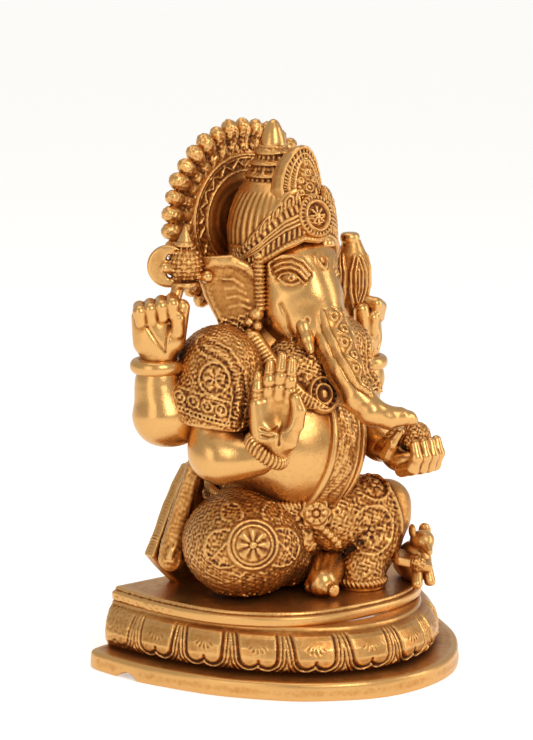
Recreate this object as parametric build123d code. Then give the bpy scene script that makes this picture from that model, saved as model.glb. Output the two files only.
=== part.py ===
"""A seated four-armed elephant-headed temple figure in cast brass, on a D-shaped lotus base.

Millimetres, +Z up. The figure faces -Y, so its right hand is on -X. The origin is on the ground,
at the centre of the base plate's bounding box. Each casting or cast-on ornament is its own node,
and every node is carved back to the pieces that were set before it, so that they meet face to face.
"""
import math
import os

from build123d import *

# Driving dimensions.
HEIGHT = 300.0
PLATE_HALF_WIDTH = 106.5
PLATE_DEPTH = 154.0
PLATE_THICK = 10.0
BAND_TOP = 34.0
SEAT_TOP = 42.0
BASE_WALL = 7.0
BACK_Y = PLATE_DEPTH / 2
HALO_CENTRE = (-1.5, 64.0, 242.5)
HALO_RADIUS = 37.0
BEAD_RING_RADIUS = 52.0
BEAD_RADIUS = 4.5
BEAD_STEP_DEG = 10.4
BEAD_COUNT = 29
CROWN_CENTRE = (0.0, 33.0, 240.0)
CROWN_AXIS_Y = 39.0

RIGHT, LEFT = -1, 1
SIDE_NAMES = {RIGHT: "right", LEFT: "left"}
pieces = {}
extents = {}


def egg(centre, radii, turn=(0.0, 0.0, 0.0)):
    """An ellipsoid of three radii, turned about its own centre."""
    return Pos(*centre) * Rot(*turn) * scale(Sphere(1.0), by=radii)


def tube_along(stations, round_ends=True):
    """A tapering limb through (x, y, z, radius) stations, with rounded ends."""
    centres = [Vector(*s[:3]) for s in stations]
    radii = [s[3] for s in stations]
    if round_ends:
        first, last = (centres[0] - centres[1]).normalized(), (centres[-1] - centres[-2]).normalized()
        centres = [centres[0] + first * radii[0] * 0.75] + centres + [centres[-1] + last * radii[-1] * 0.75]
        radii = [radii[0] * 0.6] + radii + [radii[-1] * 0.6]
    sections = []
    for i, centre in enumerate(centres):
        ahead = centres[min(i + 1, len(centres) - 1)]
        behind = centres[max(i - 1, 0)]
        sections.append(Plane(centre, z_dir=ahead - behind) * Circle(radii[i]))
    return loft(sections)


def capsule(start, end, start_radius, end_radius):
    """Two balls joined by the cone that touches both."""
    start, end = Vector(*start), Vector(*end)
    run = end - start
    lean = math.asin((start_radius - end_radius) / run.length)
    touch_1 = (start_radius * math.sin(lean), start_radius * math.cos(lean))
    touch_2 = (run.length + end_radius * math.sin(lean), end_radius * math.cos(lean))
    half_1, half_2 = math.radians(135) - lean / 2, math.radians(45) - lean / 2
    bulge_1 = (start_radius * math.cos(half_1), start_radius * math.sin(half_1))
    bulge_2 = (run.length + end_radius * math.cos(half_2), end_radius * math.sin(half_2))
    outline = [
        ThreePointArc((-start_radius, 0), bulge_1, touch_1),
        Line(touch_1, touch_2),
        ThreePointArc(touch_2, bulge_2, (run.length + end_radius, 0)),
        Line((run.length + end_radius, 0), (-start_radius, 0)),
    ]
    sideways = run.cross(Vector(0.3, 0.5, 1.0))
    return Plane(start, x_dir=run, z_dir=sideways) * revolve(make_face(outline), Axis.X)


def mirrored(side, point):
    """The point on the figure's right (-1) or left (+1) side."""
    return (side * point[0],) + tuple(point[1:])


def d_face(half_width, depth, power, inset=0.0):
    """A D-shaped face, flat at the back, whose front is a superellipse of the given power."""
    wide, deep = half_width - inset, depth - 2 * inset
    back = BACK_Y - inset
    quarter = [math.radians(a) for a in (0, 12, 25, 38, 52, 65, 78, 90)]
    side_points = [
        (wide * math.cos(a) ** (2 / power), back - deep * math.sin(a) ** (2 / power)) for a in quarter
    ]
    whole = side_points + [(-x, y) for x, y in reversed(side_points[:-1])]
    front = Spline(whole, tangents=[(0, -1), (0, 1)])
    return make_face([front, Line(front @ 1, front @ 0)])


def d_prism(half_width, depth, power, low, high, inset=0.0):
    """A straight D-shaped block from low to high."""
    return extrude(Pos(0, 0, low) * d_face(half_width, depth, power, inset), high - low)


def extent(shape):
    """The low and high corners of a shape."""
    box = shape.bounding_box(optimal=False)
    return tuple(box.min), tuple(box.max)


def extents_meet(one, two):
    """True when two low and high corner pairs overlap."""
    return all(one[0][i] < two[1][i] and two[0][i] < one[1][i] for i in range(3))


def place(name, shape, keep_share=0.2):
    """Carves the shape back to the pieces already placed, and keeps it under its node name."""
    reach = extent(shape)
    for other_name, other in pieces.items():
        if extents_meet(reach, extents[other_name]):
            shape = shape - other
    solids = shape.solids()
    biggest = max(s.volume for s in solids)
    solids = [s for s in solids if s.volume > keep_share * biggest]
    pieces[name] = solids[0] if len(solids) == 1 else Compound(children=solids)
    extents[name] = extent(pieces[name])


def base():
    """Base plate, lotus band and seat slab, all open underneath as the real hollow casting is."""
    plate = d_prism(PLATE_HALF_WIDTH, PLATE_DEPTH, 2.0, 0, PLATE_THICK)
    place("base_plate", plate - d_prism(88.0, 132.0, 2.2, -1, PLATE_THICK + 1, inset=6.0))
    levels = ((10.0, 92.0, 137.0), (18.0, 96.0, 140.0), (26.5, 94.0, 136.0), (BAND_TOP, 88.0, 126.0))
    bulge = loft([Pos(0, 0, z) * d_face(wide, deep, 2.2) for z, wide, deep in levels])
    place("lotus_band", bulge - d_prism(84.0, 124.0, 2.2, 9.0, BAND_TOP + 1, inset=BASE_WALL))
    place("seat_slab", d_prism(86.0, 119.0, 2.5, BAND_TOP, SEAT_TOP))


def torso():
    """Belly, chest and hips in one casting."""
    body = egg((-1, 22, 122), (42, 42, 42)) + egg((0, 32, 148), (46, 26, 42)) + egg((0, 30, 78), (48, 32, 40))
    below = Pos(0, 0, SEAT_TOP - 50) * Box(300, 300, 100)
    place("torso", body - below)


def legs():
    """The right leg folded flat with its knee out to the side, and the left knee raised."""
    floor = Pos(0, 0, SEAT_TOP - 50) * Box(300, 300, 100)
    place("right_leg", egg((-40, 16, 70), (32.5, 34, 29), (0, 0, 20)) - floor)
    thigh = capsule((14, 2, 79), (45, -5, 83), 20.0, 15.0)
    shin = capsule((43, -6, 77), (19, -9, 54), 14.5, 12.0)
    place("left_leg", thigh + shin - floor)
    place("right_foot", tube_along([(6, 0, 52, 9), (-7, -8, 49, 8.5), (-16, -14, 48, 7)]) - floor)
    place("left_hem", Pos(17, -8, SEAT_TOP + 3) * Cylinder(15.5, 6))


def head():
    """Skull and face, trunk, tusks and ears."""
    skull = egg((0, 26, 212), (27, 28, 33)) + egg((0, 15, 196), (21, 21, 24))
    place("head", skull)
    trunk = [
        (0, 7, 203, 13.5), (0, -3, 192, 11.5), (0, -12, 180, 10.2), (0, -22, 167, 9.5), (1, -32, 154, 8.6),
        (5, -38.5, 146, 7.2), (14, -42.5, 143, 5.8), (23, -44, 142.5, 4.2), (28, -45, 141.5, 2.6),
    ]
    place("trunk", tube_along(trunk))
    for side in (RIGHT, LEFT):
        name = SIDE_NAMES[side]
        tusk = [mirrored(side, p) for p in ((13, 1, 197, 4.2), (15, -5, 190, 4.0), (16, -10, 182, 3.0))]
        place(f"{name}_tusk", tube_along(tusk))
        rim = [(-6, 202), (0, 222), (14, 228), (31, 225), (33, 208), (26, 192), (14, 182), (2, 186)]
        plate = extrude(Plane.XZ * make_face(Spline(rim, periodic=True)), 3.5, both=True)
        heading = 38 if side == LEFT else 142
        place(f"{name}_ear", Pos(side * 24, 21, 0) * Rot(0, 0, heading) * plate)


def crown():
    """The tall crown: rim bands, dome, stacked tiers, finial, leaf-shaped front panel and its rosette."""
    x, y, z = CROWN_CENTRE
    dome = egg((x, y, z), (29.5, 29.5, 31))
    tilt = Pos(0, 18, 231) * Rot(-14, 0, 0) * Box(120, 120, 60, align=(Align.CENTER, Align.CENTER, Align.MIN))
    place("crown_dome", dome & tilt)
    place("crown_rim", (Pos(0, 25, 229) * Rot(-14, 0, 0) * Cylinder(30.5, 11)))
    right_side = Spline([(0, 13), (7.5, 9.5), (13.5, 1.5), (15.5, -9), (13, -22)])
    left_side = Spline([(-13, -22), (-15.5, -9), (-13.5, 1.5), (-7.5, 9.5), (0, 13)])
    panel_face = make_face([right_side, Line((13, -22), (-13, -22)), left_side])
    leaning = Pos(0, 18.0, 276.3) * Rot(90 - 25.6, 0, 0)
    place("crown_panel", leaning * Pos(0, 0, -9) * extrude(panel_face, 13))
    place("crown_rosette", leaning * Pos(0, -27, 5) * Cylinder(11, 7))
    tiers = ((261, 15.6, 8.5), (269.5, 13.0, 6.5), (276, 10.5, 6.0), (282, 8.2, 3.5))
    stack = [Pos(0, CROWN_AXIS_Y, low) * Cylinder(r, h, align=(Align.CENTER, Align.CENTER, Align.MIN))
             for low, r, h in tiers]
    place("crown_tiers", stack[0] + stack[1] + stack[2] + stack[3])
    cone_low = 285.5
    tip = Line((0, HEIGHT - cone_low), (0, 0))
    flare = Spline([(7.0, 0), (5.2, 6.5), (0, HEIGHT - cone_low)], tangents=[(0.1, 1), (-1, 0.35)])
    profile = make_face([tip, Line((0, 0), (7.0, 0)), flare])
    place("crown_finial", Pos(0, CROWN_AXIS_Y, cone_low) * revolve(Plane.XZ * profile, Axis.Z))


def halo():
    """The round plate behind the head, its raised ring, its beaded spokes and the stay that holds it."""
    standing = Pos(*HALO_CENTRE) * Rot(90, 0, 0)
    place("halo_disc", standing * Cylinder(26, 3))
    ring = Cylinder(HALO_RADIUS, 7) - Cylinder(26, 8)
    place("halo_ring", standing * ring)
    stem_end = BEAD_RING_RADIUS - BEAD_RADIUS * 0.7
    bead_top = BEAD_RING_RADIUS + BEAD_RADIUS
    waist = BEAD_RADIUS * math.sqrt(1 - 0.7**2)
    outline = [
        Polyline((HALO_RADIUS, 0), (HALO_RADIUS, waist), (stem_end, waist)),
        ThreePointArc((stem_end, waist), (BEAD_RING_RADIUS, BEAD_RADIUS), (bead_top, 0)),
        Line((bead_top, 0), (HALO_RADIUS, 0)),
    ]
    spoke = revolve(make_face(outline), Axis.X)
    spokes = [
        (standing * Rot(0, 0, 90 + (i - (BEAD_COUNT - 1) / 2) * BEAD_STEP_DEG) * spoke).solids()[0]
        for i in range(BEAD_COUNT)
    ]
    place("halo_beads", Compound(children=spokes))
    place("halo_stay", Pos(0, 58, 190) * Rot(-8, 0, 0) * Box(14, 8, 64))


def wrist_joint(name, wrist, radius, arm, hand):
    """An arm and a hand that meet at a wrist plane, the hand's wrist inside a rounded bangle."""
    beyond = wrist * Pos(0, 0, 15) * Box(3 * radius, 3 * radius, 30)
    behind = wrist * Pos(0, 0, 7 - 15) * Box(4 * radius, 4 * radius, 30)
    place(f"{name}_arm", arm - beyond)
    ring = fillet(Cylinder(radius + 4.5, 7).edges().filter_by(GeomType.CIRCLE), 3)
    ring = ring - Cylinder(radius, 7)
    place(f"{name}_bangle", wrist * Pos(0, 0, 3.5) * ring)
    place(f"{name}_hand", (hand - behind) + wrist * Pos(0, 0, 4.5) * Cylinder(radius, 9))


def rear_arms():
    """The two raised rear arms with their bangles, fists and the emblems that they hold."""
    for side, elbow_x, low_x, wrist_x, drop in ((RIGHT, 67, 77, 77.5, 0.0), (LEFT, 58, 63, 71.0, -14.0)):
        shoulder, elbow = mirrored(side, (40, 31, 158)), mirrored(side, (elbow_x, 40, 142 + drop / 2))
        low, high = mirrored(side, (low_x, 42, 143 + drop)), mirrored(side, (wrist_x, 43.5, 159 + drop))
        upper = capsule(shoulder, elbow, 17.5, 15.5)
        fore = capsule(low, high, 15.5, 12.0)
        hand = egg(mirrored(side, (wrist_x - 2, 43, 191 + drop)), (13.5, 12.5, 16))
        wrist = Pos(*mirrored(side, (wrist_x, 44, 167 + drop)))
        wrist_joint(f"{SIDE_NAMES[side]}_rear", wrist, 9.5, upper + fore, hand)
    shaft = tube_along([(-70, 42, 204, 4), (-62, 44, 214, 4)], round_ends=False)
    bulb = egg((-57.5, 45, 223), (9.5, 9.5, 11.5))
    tip = Pos(-57.5, 45, 237) * Cone(5.5, 1.2, 10)
    place("axe_head", bulb + tip + shaft)
    blade = (Cylinder(16.5, 6) & Pos(-14, 0, 0) * Box(28, 40, 10)) - Pos(2, 0, 0) * Cylinder(7.5, 12)
    place("axe_blade", Pos(-66.5, 46, 222) * Rot(90, 0, 0) * blade)
    place("axe_knob", Pos(-44.5, 42, 215) * Sphere(4.5))
    place("lotus_bud", egg((62, 43, 206), (10, 10, 21)))
    place("bud_knob", egg((60.5, 43, 228), (5.5, 5.5, 5)))


def front_arms():
    """The blessing right arm, and the left arm that holds out a round sweet."""
    upper = capsule((-50, 24, 155), (-62, 16, 127), 16.5, 14.5)
    fore = capsule((-63, 13, 121), (-50, -4, 123.5), 13.5, 10.5)
    wrist = Pos(-47, -8, 125) * Rot(32, 24, 0)
    palm = egg((-42, -13, 147), (14, 6.5, 18), (6, 0, -22))
    fingers = [tube_along([(-42 + dx, -14 + dy, 150, 3.9), (-42 + dx, -15 + dy, top - 4, 3.1)])
               for dx, dy, top in ((-8.5, 3.2, 172), (-3, 1.0, 178), (2.8, -1.2, 180), (8.3, -3.4, 175))]
    thumb = tube_along([(-32, -18, 140, 4.2), (-27.5, -21, 150, 3.4)])
    hand = palm + thumb
    for finger in fingers:
        hand = hand + finger
    wrist_joint("right_front", wrist, 8.5, upper + fore, hand)
    upper = capsule((38, 27, 155), (43, 13, 129), 14.5, 13.5)
    fore = capsule((43.5, 9, 124), (44.5, -12, 119.5), 13.0, 10.5)
    wrist = Pos(44, -16, 118.5) * Rot(86, 0, 0)
    fist = egg((42.5, -35, 116), (12, 15, 9.5), (-8, 0, 0)) - egg((42.5, -36, 127), (8.2, 8.2, 8.2))
    wrist_joint("left_front", wrist, 7.5, upper + fore, fist)
    place("sweet_ball", egg((42.5, -36, 127), (8, 8, 8)))


def dress():
    """Belt, sash, necklace, shoulder capes and shawl tails."""
    belt = Pos(0, 29, 92) * Rot(-12, 0, 0) * scale(Torus(1.0, 0.14), by=(47, 34, 45))
    place("waist_belt", belt)
    place("belt_clasp", egg((-5, -6, 85), (9, 5, 9)))
    place("necklace", Pos(0, 10, 166) * Rot(-45, 0, 0) * scale(Torus(1.0, 0.16), by=(31, 38, 31)))
    place("pendant", egg((-2, -10, 150), (8.5, 5, 10), (-30, 0, 0)))
    strip = Pos(3, -14, 132) * Rot(0, 24, 0) * Box(13, 50, 90)
    place("belly_sash", egg((-1, 22, 122), (45, 45, 45)) & strip)
    for side in (RIGHT, LEFT):
        name = SIDE_NAMES[side]
        centre, radii = ((-47, 27, 165), (23, 25, 24)) if side == RIGHT else ((39, 30, 165), (19, 21, 22))
        place(f"{name}_shoulder_cape", egg(centre, radii))
        tail = [(30, 106), (46, 102), (70, 59), (48, SEAT_TOP), (20, SEAT_TOP), (20, 106)]
        tail = [(side * px, pz) for px, pz in tail]
        plate = extrude(Plane.XZ * make_face(Polyline(tail, close=True)), 7)
        place(f"{name}_shawl_tail", Pos(0, 66, 0) * plate)
        scarf = tube_along([mirrored(side, p) for p in
                            ((55, 44, 104, 6), (60, 47, 84, 7), (66, 48, 66, 8), (66, 48, 58, 7))])
        place(f"{name}_scarf_end", scarf)


def mouse():
    """The small mouse that waits by the left knee with its own sweet."""
    place("mouse_body", egg((51, -23, 54), (9, 11, 12.5)))
    place("mouse_head", egg((50, -27, 66), (6.5, 8.5, 6.5), (-20, 0, 0)))
    place("mouse_sweet", egg((43, -34, 56), (4.5, 4.5, 4.5)))


def main():
    for build in (base, torso, legs, head, crown, halo, rear_arms, front_arms, dress, mouse):
        build()
    os.makedirs("parts", exist_ok=True)
    for name, shape in pieces.items():
        export_step(shape, f"parts/{name}.step")


main()
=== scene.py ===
import math

import bpy
import numpy as np
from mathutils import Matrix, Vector


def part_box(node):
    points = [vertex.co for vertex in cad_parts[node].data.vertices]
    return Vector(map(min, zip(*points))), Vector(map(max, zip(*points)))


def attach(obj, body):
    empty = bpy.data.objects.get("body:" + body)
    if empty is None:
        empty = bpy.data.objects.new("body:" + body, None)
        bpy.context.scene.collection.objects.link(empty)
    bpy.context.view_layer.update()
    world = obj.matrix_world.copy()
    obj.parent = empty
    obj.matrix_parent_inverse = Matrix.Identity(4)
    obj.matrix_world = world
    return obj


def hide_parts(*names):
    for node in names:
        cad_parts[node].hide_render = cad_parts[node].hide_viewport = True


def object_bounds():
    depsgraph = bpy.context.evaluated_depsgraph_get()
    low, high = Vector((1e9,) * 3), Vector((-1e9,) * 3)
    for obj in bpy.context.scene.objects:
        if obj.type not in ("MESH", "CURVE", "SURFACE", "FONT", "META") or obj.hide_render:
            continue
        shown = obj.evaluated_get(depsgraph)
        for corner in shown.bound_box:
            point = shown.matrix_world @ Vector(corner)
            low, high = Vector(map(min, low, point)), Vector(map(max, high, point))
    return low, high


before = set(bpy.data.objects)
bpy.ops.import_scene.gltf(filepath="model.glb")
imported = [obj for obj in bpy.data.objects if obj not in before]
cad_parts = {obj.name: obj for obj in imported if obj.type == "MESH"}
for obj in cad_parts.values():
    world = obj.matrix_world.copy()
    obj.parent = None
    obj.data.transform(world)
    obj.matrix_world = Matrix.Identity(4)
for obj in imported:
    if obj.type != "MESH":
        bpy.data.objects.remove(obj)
size_before = [list(corner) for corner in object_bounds()]

# Every length below is in millimetres until a mesh is made. A field is a function that takes
# an (n, 3) array of points and returns how far each is outside (+) or inside (-) a piece.
MM = 1000.0
boxes = {}


def node_box(node):
    """Low and high corner of a CAD node, in millimetres."""
    if node not in boxes:
        low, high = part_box(node)
        boxes[node] = (np.array(low) * MM, np.array(high) * MM)
    return boxes[node]


def span(nodes, margin):
    """Low and high corner of several nodes together, with a margin."""
    low = np.min([node_box(n)[0] for n in nodes], axis=0) - margin
    high = np.max([node_box(n)[1] for n in nodes], axis=0) + margin
    return low, high


def middle(node):
    low, high = node_box(node)
    return (low + high) / 2


def vec(*numbers):
    return np.array(numbers, float)


def unit(vector):
    return vector / np.linalg.norm(vector)


UP = vec(0, 0, 1)
CORNERS = [(x, y, z) for x in (0, 1) for y in (0, 1) for z in (0, 1)]

# The right hands, the cheek and the cape face outwards, between the front and the figure's right.
VIEW_SIDE = vec(0.766, -0.643, 0.0)
VIEW_OUT = vec(-0.643, -0.766, 0.0)

# The big round of the belly, which the strap and the collar's drops follow.
BELLY = vec(-1, 22, 122)
BELLY_RADII = vec(42, 42, 41.5)


# Fields and the ways to join them.
def length(q):
    return np.sqrt(np.einsum("ij,ij->i", q, q))


def smin(a, b, k):
    h = np.clip(0.5 + 0.5 * (b - a) / k, 0, 1)
    return b + (a - b) * h - k * h * (1 - h)


def smax(a, b, k):
    return -smin(-a, -b, k)


def join(parts, k):
    d = parts[0]
    for part in parts[1:]:
        d = smin(d, part, k)
    return d


def spin(degrees_x=0.0, degrees_y=0.0, degrees_z=0.0):
    """Rotation matrix, turning about X, then Y, then Z."""
    x, y, z = (math.radians(v) for v in (degrees_x, degrees_y, degrees_z))
    rx = np.array([[1, 0, 0], [0, math.cos(x), -math.sin(x)], [0, math.sin(x), math.cos(x)]])
    ry = np.array([[math.cos(y), 0, math.sin(y)], [0, 1, 0], [-math.sin(y), 0, math.cos(y)]])
    rz = np.array([[math.cos(z), -math.sin(z), 0], [math.sin(z), math.cos(z), 0], [0, 0, 1]])
    return rz @ ry @ rx


def local(p, centre, turn=None):
    """The points in a frame that sits at centre and is turned by the matrix."""
    q = p - np.asarray(centre, float)
    return q if turn is None else q @ turn


def ball(p, c, r):
    return length(p - np.asarray(c, float)) - r


def egg(p, c, radii, turn=None):
    q = local(p, c, turn)
    r = np.asarray(radii, float)
    k0 = length(q / r)
    k1 = length(q / (r * r))
    return k0 * (k0 - 1) / np.maximum(k1, 1e-6)


def limb(p, a, b, ra, rb):
    """A straight tapering limb with round ends."""
    a, b = np.asarray(a, float), np.asarray(b, float)
    run = b - a
    t = np.clip(((p - a) @ run) / (run @ run), 0, 1)
    return length(p - a - t[:, None] * run) - (ra + (rb - ra) * t)


def chain(p, stations, k=2.0):
    """A bent limb through (x, y, z, radius) stations."""
    d = None
    for s, e in zip(stations[:-1], stations[1:]):
        one = limb(p, s[:3], e[:3], s[3], e[3])
        d = one if d is None else smin(d, one, k)
    return d


def along(p, points):
    """Nearest place on a polyline: arc length, distance, and the offset vector from it."""
    pts = np.asarray(points, float)
    best = np.full(len(p), 1e9)
    arc = np.zeros(len(p))
    off = np.zeros((len(p), 3))
    run_length = 0.0
    for a, b in zip(pts[:-1], pts[1:]):
        run = b - a
        size = math.sqrt(run @ run)
        t = np.clip(((p - a) @ run) / (run @ run), 0, 1)
        o = p - a - t[:, None] * run
        dist = length(o)
        near = dist < best
        best[near] = dist[near]
        arc[near] = run_length + t[near] * size
        off[near] = o[near]
        run_length += size
    return arc, best, off


def torus(p, c, r, tube, turn=None):
    q = local(p, c, turn)
    return np.hypot(np.hypot(q[:, 0], q[:, 1]) - r, q[:, 2]) - tube


def disc(p, c, r, half, edge=0.6, turn=None):
    """A flat round plate across local Z, with softened edges."""
    q = local(p, c, turn)
    return smax(np.hypot(q[:, 0], q[:, 1]) - r, np.abs(q[:, 2]) - half, edge)


def block(p, c, half, edge=0.6, turn=None):
    q = np.abs(local(p, c, turn)) - np.asarray(half, float)
    return smax(smax(q[:, 0], q[:, 1], edge), q[:, 2], edge)


def bump(x, width):
    """A rounded ridge of height 1 centred on x = 0."""
    return np.exp(-((x / width) ** 2))


def step(x, low, high):
    t = np.clip((x - low) / (high - low), 0, 1)
    return t * t * (3 - 2 * t)


def grain(p, pitch, seed=0.0):
    """An uneven, punched-looking pattern between about -1 and 1."""
    k = 2 * math.pi / pitch
    total = 0
    for i, (x, y, z) in enumerate(((1, 0.35, 0.2), (-0.3, 1, 0.45), (0.25, -0.5, 1), (0.8, 0.7, -0.6))):
        wave = p[:, 0] * x + p[:, 1] * y + p[:, 2] * z
        wobble = np.sin((p[:, 1] * z - p[:, 0] * y + p[:, 2] * x) * k * 0.43 + i * 2.1 + seed)
        total = total + np.sin(wave * k + wobble * 1.9 + i * 1.7 + seed)
    return total / 2.6


def uneven(p, size=0.35):
    """The slow waviness of a hand-finished casting."""
    return size * (np.sin(p[:, 0] / 9 + p[:, 2] / 13) * np.sin(p[:, 1] / 11 - p[:, 2] / 8 + 1.3))


# Meshing: surface nets on a grid that is only filled in near the surface.
# Relief makes a field uneven by up to about this much, so a block this near is filled in too.
RELIEF_BAND = 1.5


def fill_grid(field, low, cell, counts):
    """The field's values on a grid, exact near the surface and copied from blocks elsewhere."""
    stride = 4
    blocks = [-(-(n - 1) // stride) for n in counts]
    counts = [b * stride + 1 for b in blocks]
    axes = [low[i] + cell * stride * np.arange(blocks[i] + 1) for i in range(3)]
    coarse = evaluate(field, np.stack(np.meshgrid(*axes, indexing="ij"), -1).reshape(-1, 3))
    coarse = coarse.reshape([b + 1 for b in blocks])
    near = np.zeros(blocks, bool)
    limit = cell * stride * 1.05 + RELIEF_BAND
    for dx, dy, dz in CORNERS:
        near |= np.abs(coarse[dx:dx + blocks[0], dy:dy + blocks[1], dz:dz + blocks[2]]) < limit
    wanted = np.zeros(counts, bool)
    full = near.repeat(stride, 0).repeat(stride, 1).repeat(stride, 2)
    for dx, dy, dz in CORNERS:
        wanted[dx:dx + full.shape[0], dy:dy + full.shape[1], dz:dz + full.shape[2]] |= full
    values = coarse.repeat(stride, 0).repeat(stride, 1).repeat(stride, 2)
    values = values[:counts[0], :counts[1], :counts[2]].astype(np.float32)
    index = np.argwhere(wanted)
    values[wanted] = evaluate(field, low + index * cell)
    for edge in (values[0], values[-1], values[:, 0], values[:, -1], values[:, :, 0], values[:, :, -1]):
        np.maximum(edge, 0.01, out=edge)
    return values


def evaluate(field, points, chunk=250000):
    return np.concatenate([field(points[i:i + chunk]) for i in range(0, len(points), chunk)])


def surface_net(values, low, cell):
    """Vertices and quads where the grid's values change sign."""
    inside = values < 0
    nx, ny, nz = (n - 1 for n in values.shape)
    total = np.zeros((nx, ny, nz), np.uint8)
    for x, y, z in CORNERS:
        total += inside[x:x + nx, y:y + ny, z:z + nz]
    active = (total > 0) & (total < 8)
    cells = np.argwhere(active)
    summed = np.zeros((len(cells), 3))
    crossings = np.zeros(len(cells))
    for start in CORNERS:
        for axis in range(3):
            if start[axis]:
                continue
            end = list(start)
            end[axis] = 1
            f0 = values[tuple((cells + start).T)]
            f1 = values[tuple((cells + end).T)]
            cross = (f0 < 0) != (f1 < 0)
            t = np.where(cross, f0 / np.where(cross, f0 - f1, 1), 0)
            place = np.array(start, float) + 0 * cells
            place[:, axis] += t
            summed += place * cross[:, None]
            crossings += cross
    points = low + cell * (cells + summed / crossings[:, None])
    number = np.full((nx, ny, nz), -1, np.int32)
    number[active] = np.arange(len(cells))
    quads = []
    for axis in range(3):
        a, b = [i for i in range(3) if i != axis]
        low_end = [slice(None)] * 3
        high_end = [slice(None)] * 3
        low_end[axis], high_end[axis] = slice(0, -1), slice(1, None)
        one, two = inside[tuple(low_end)], inside[tuple(high_end)]
        change = np.argwhere(one != two)
        keep = (change[:, a] > 0) & (change[:, b] > 0)
        keep &= (change[:, a] < inside.shape[a] - 1) & (change[:, b] < inside.shape[b] - 1)
        change = change[keep]
        ring = []
        for da, db in ((1, 1), (0, 1), (0, 0), (1, 0)):
            at = change.copy()
            at[:, a] -= da
            at[:, b] -= db
            ring.append(number[tuple(at.T)])
        quad = np.stack(ring, 1)
        outward = one[tuple(change.T)]
        if axis == 1:
            outward = ~outward
        quad[~outward] = quad[~outward][:, ::-1]
        quads.append(quad)
    quads = np.concatenate(quads)
    return points, quads[(quads >= 0).all(1)]


def vertex_normals(points, quads):
    """Unit normals at the vertices, from the quads round each."""
    across = np.cross(points[quads[:, 2]] - points[quads[:, 0]], points[quads[:, 3]] - points[quads[:, 1]])
    normals = np.stack([
        sum(np.bincount(quads[:, k], across[:, i], len(points)) for k in range(4)) for i in range(3)
    ], 1)
    return normals / np.maximum(length(normals), 1e-9)[:, None]


def smoothed(points, quads, rounds):
    """The vertices, each moved to the mean of its neighbours, so many times over."""
    ends = np.concatenate([quads[:, [0, 1]], quads[:, [1, 2]], quads[:, [2, 3]], quads[:, [3, 0]]])
    degree = np.bincount(ends[:, 0], minlength=len(points)) + np.bincount(ends[:, 1], minlength=len(points))
    degree = np.maximum(degree, 1)
    for _ in range(rounds):
        moved = [
            np.bincount(ends[:, 0], points[ends[:, 1], i], len(points))
            + np.bincount(ends[:, 1], points[ends[:, 0], i], len(points)) for i in range(3)
        ]
        points = np.stack(moved, 1) / degree[:, None]
    return points


built = []
# A coarse grid of the cells that the pieces fill, used for the painted shade (ambient occlusion) between
# pieces.
OCC_CELL = 3.0
occ_low = np.array(size_before[0]) * MM - 30
occ_size = tuple(int(n) for n in np.ceil((np.array(size_before[1]) * MM + 30 - occ_low) / OCC_CELL))
occupied = np.zeros(occ_size, np.float32)


def mark_occupied(field, low, high):
    """Notes which cells of the coarse grid the piece fills, so that painted shade darkens what it hems in."""
    first = np.maximum(np.floor((low - occ_low) / OCC_CELL).astype(int), 0)
    last = np.minimum(np.ceil((high - occ_low) / OCC_CELL).astype(int), occ_size)
    ranges = [np.arange(first[i], last[i]) for i in range(3)]
    index = np.stack(np.meshgrid(*ranges, indexing="ij"), -1).reshape(-1, 3)
    solid = evaluate(field, occ_low + index * OCC_CELL) < 0
    occupied[tuple(index[solid].T)] = 1


def make(name, nodes, field, cell, margin, material, region=None):
    """Meshes a field in the box of its CAD nodes and lets the mesh stand for them."""
    low, high = span(nodes, margin) if region is None else region
    low, high = np.asarray(low, float), np.asarray(high, float)
    counts = [int(n) + 2 for n in np.ceil((high - low) / cell)]
    values = fill_grid(field, low, cell, counts)
    points, quads = surface_net(values, low, cell)
    mark_occupied(field, low, high)
    mesh = bpy.data.meshes.new(name)
    mesh.vertices.add(len(points))
    mesh.vertices.foreach_set("co", (points / MM).astype(np.float32).ravel())
    mesh.loops.add(quads.size)
    mesh.loops.foreach_set("vertex_index", quads.astype(np.int32).ravel())
    mesh.polygons.add(len(quads))
    mesh.polygons.foreach_set("loop_start", np.arange(0, quads.size, 4, dtype=np.int32))
    mesh.polygons.foreach_set("loop_total", np.full(len(quads), 4, np.int32))
    mesh.polygons.foreach_set("use_smooth", np.ones(len(quads), bool))
    mesh.update(calc_edges=True)
    piece = bpy.data.objects.new(name, mesh)
    bpy.context.scene.collection.objects.link(piece)
    built.append((piece, points, quads))
    mesh.materials.append(material)
    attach(piece, "root")
    if nodes:
        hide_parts(*nodes)


def blurred(grid, rounds):
    for _ in range(rounds):
        for axis in range(3):
            grid = (np.roll(grid, 1, axis) + 2 * grid + np.roll(grid, -1, axis)) / 4
    return grid


def shade_attributes():
    """Stores on every piece how deep in a recess each vertex is, for the patina, and how much other pieces
    hem it in, for painted shade.
    """
    shade_occupancy = blurred(occupied, 5)
    for piece, points, quads in built:
        normals = vertex_normals(points, quads)
        fine = ((smoothed(points, quads, 3) - points) * normals).sum(1)
        broad = ((smoothed(points, quads, 14) - points) * normals).sum(1)
        # Painted shade: ambient occlusion read from the blurred grid of filled cells, 4.5 mm out along the
        # normal.
        probe = (points + normals * 4.5 - occ_low) / OCC_CELL
        base = np.clip(np.floor(probe).astype(int), 0, np.array(occ_size) - 2)
        part = probe - base
        painted_shade = 0
        for corner in CORNERS:
            weight = np.where(np.array(corner) > 0, part, 1 - part).prod(1)
            painted_shade = painted_shade + weight * shade_occupancy[tuple((base + corner).T)]
        for label, data in (("fine", fine), ("broad", broad), ("painted_shade", painted_shade)):
            layer = piece.data.attributes.new(label, "FLOAT", "POINT")
            layer.data.foreach_set("value", data.astype(np.float32))


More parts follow.
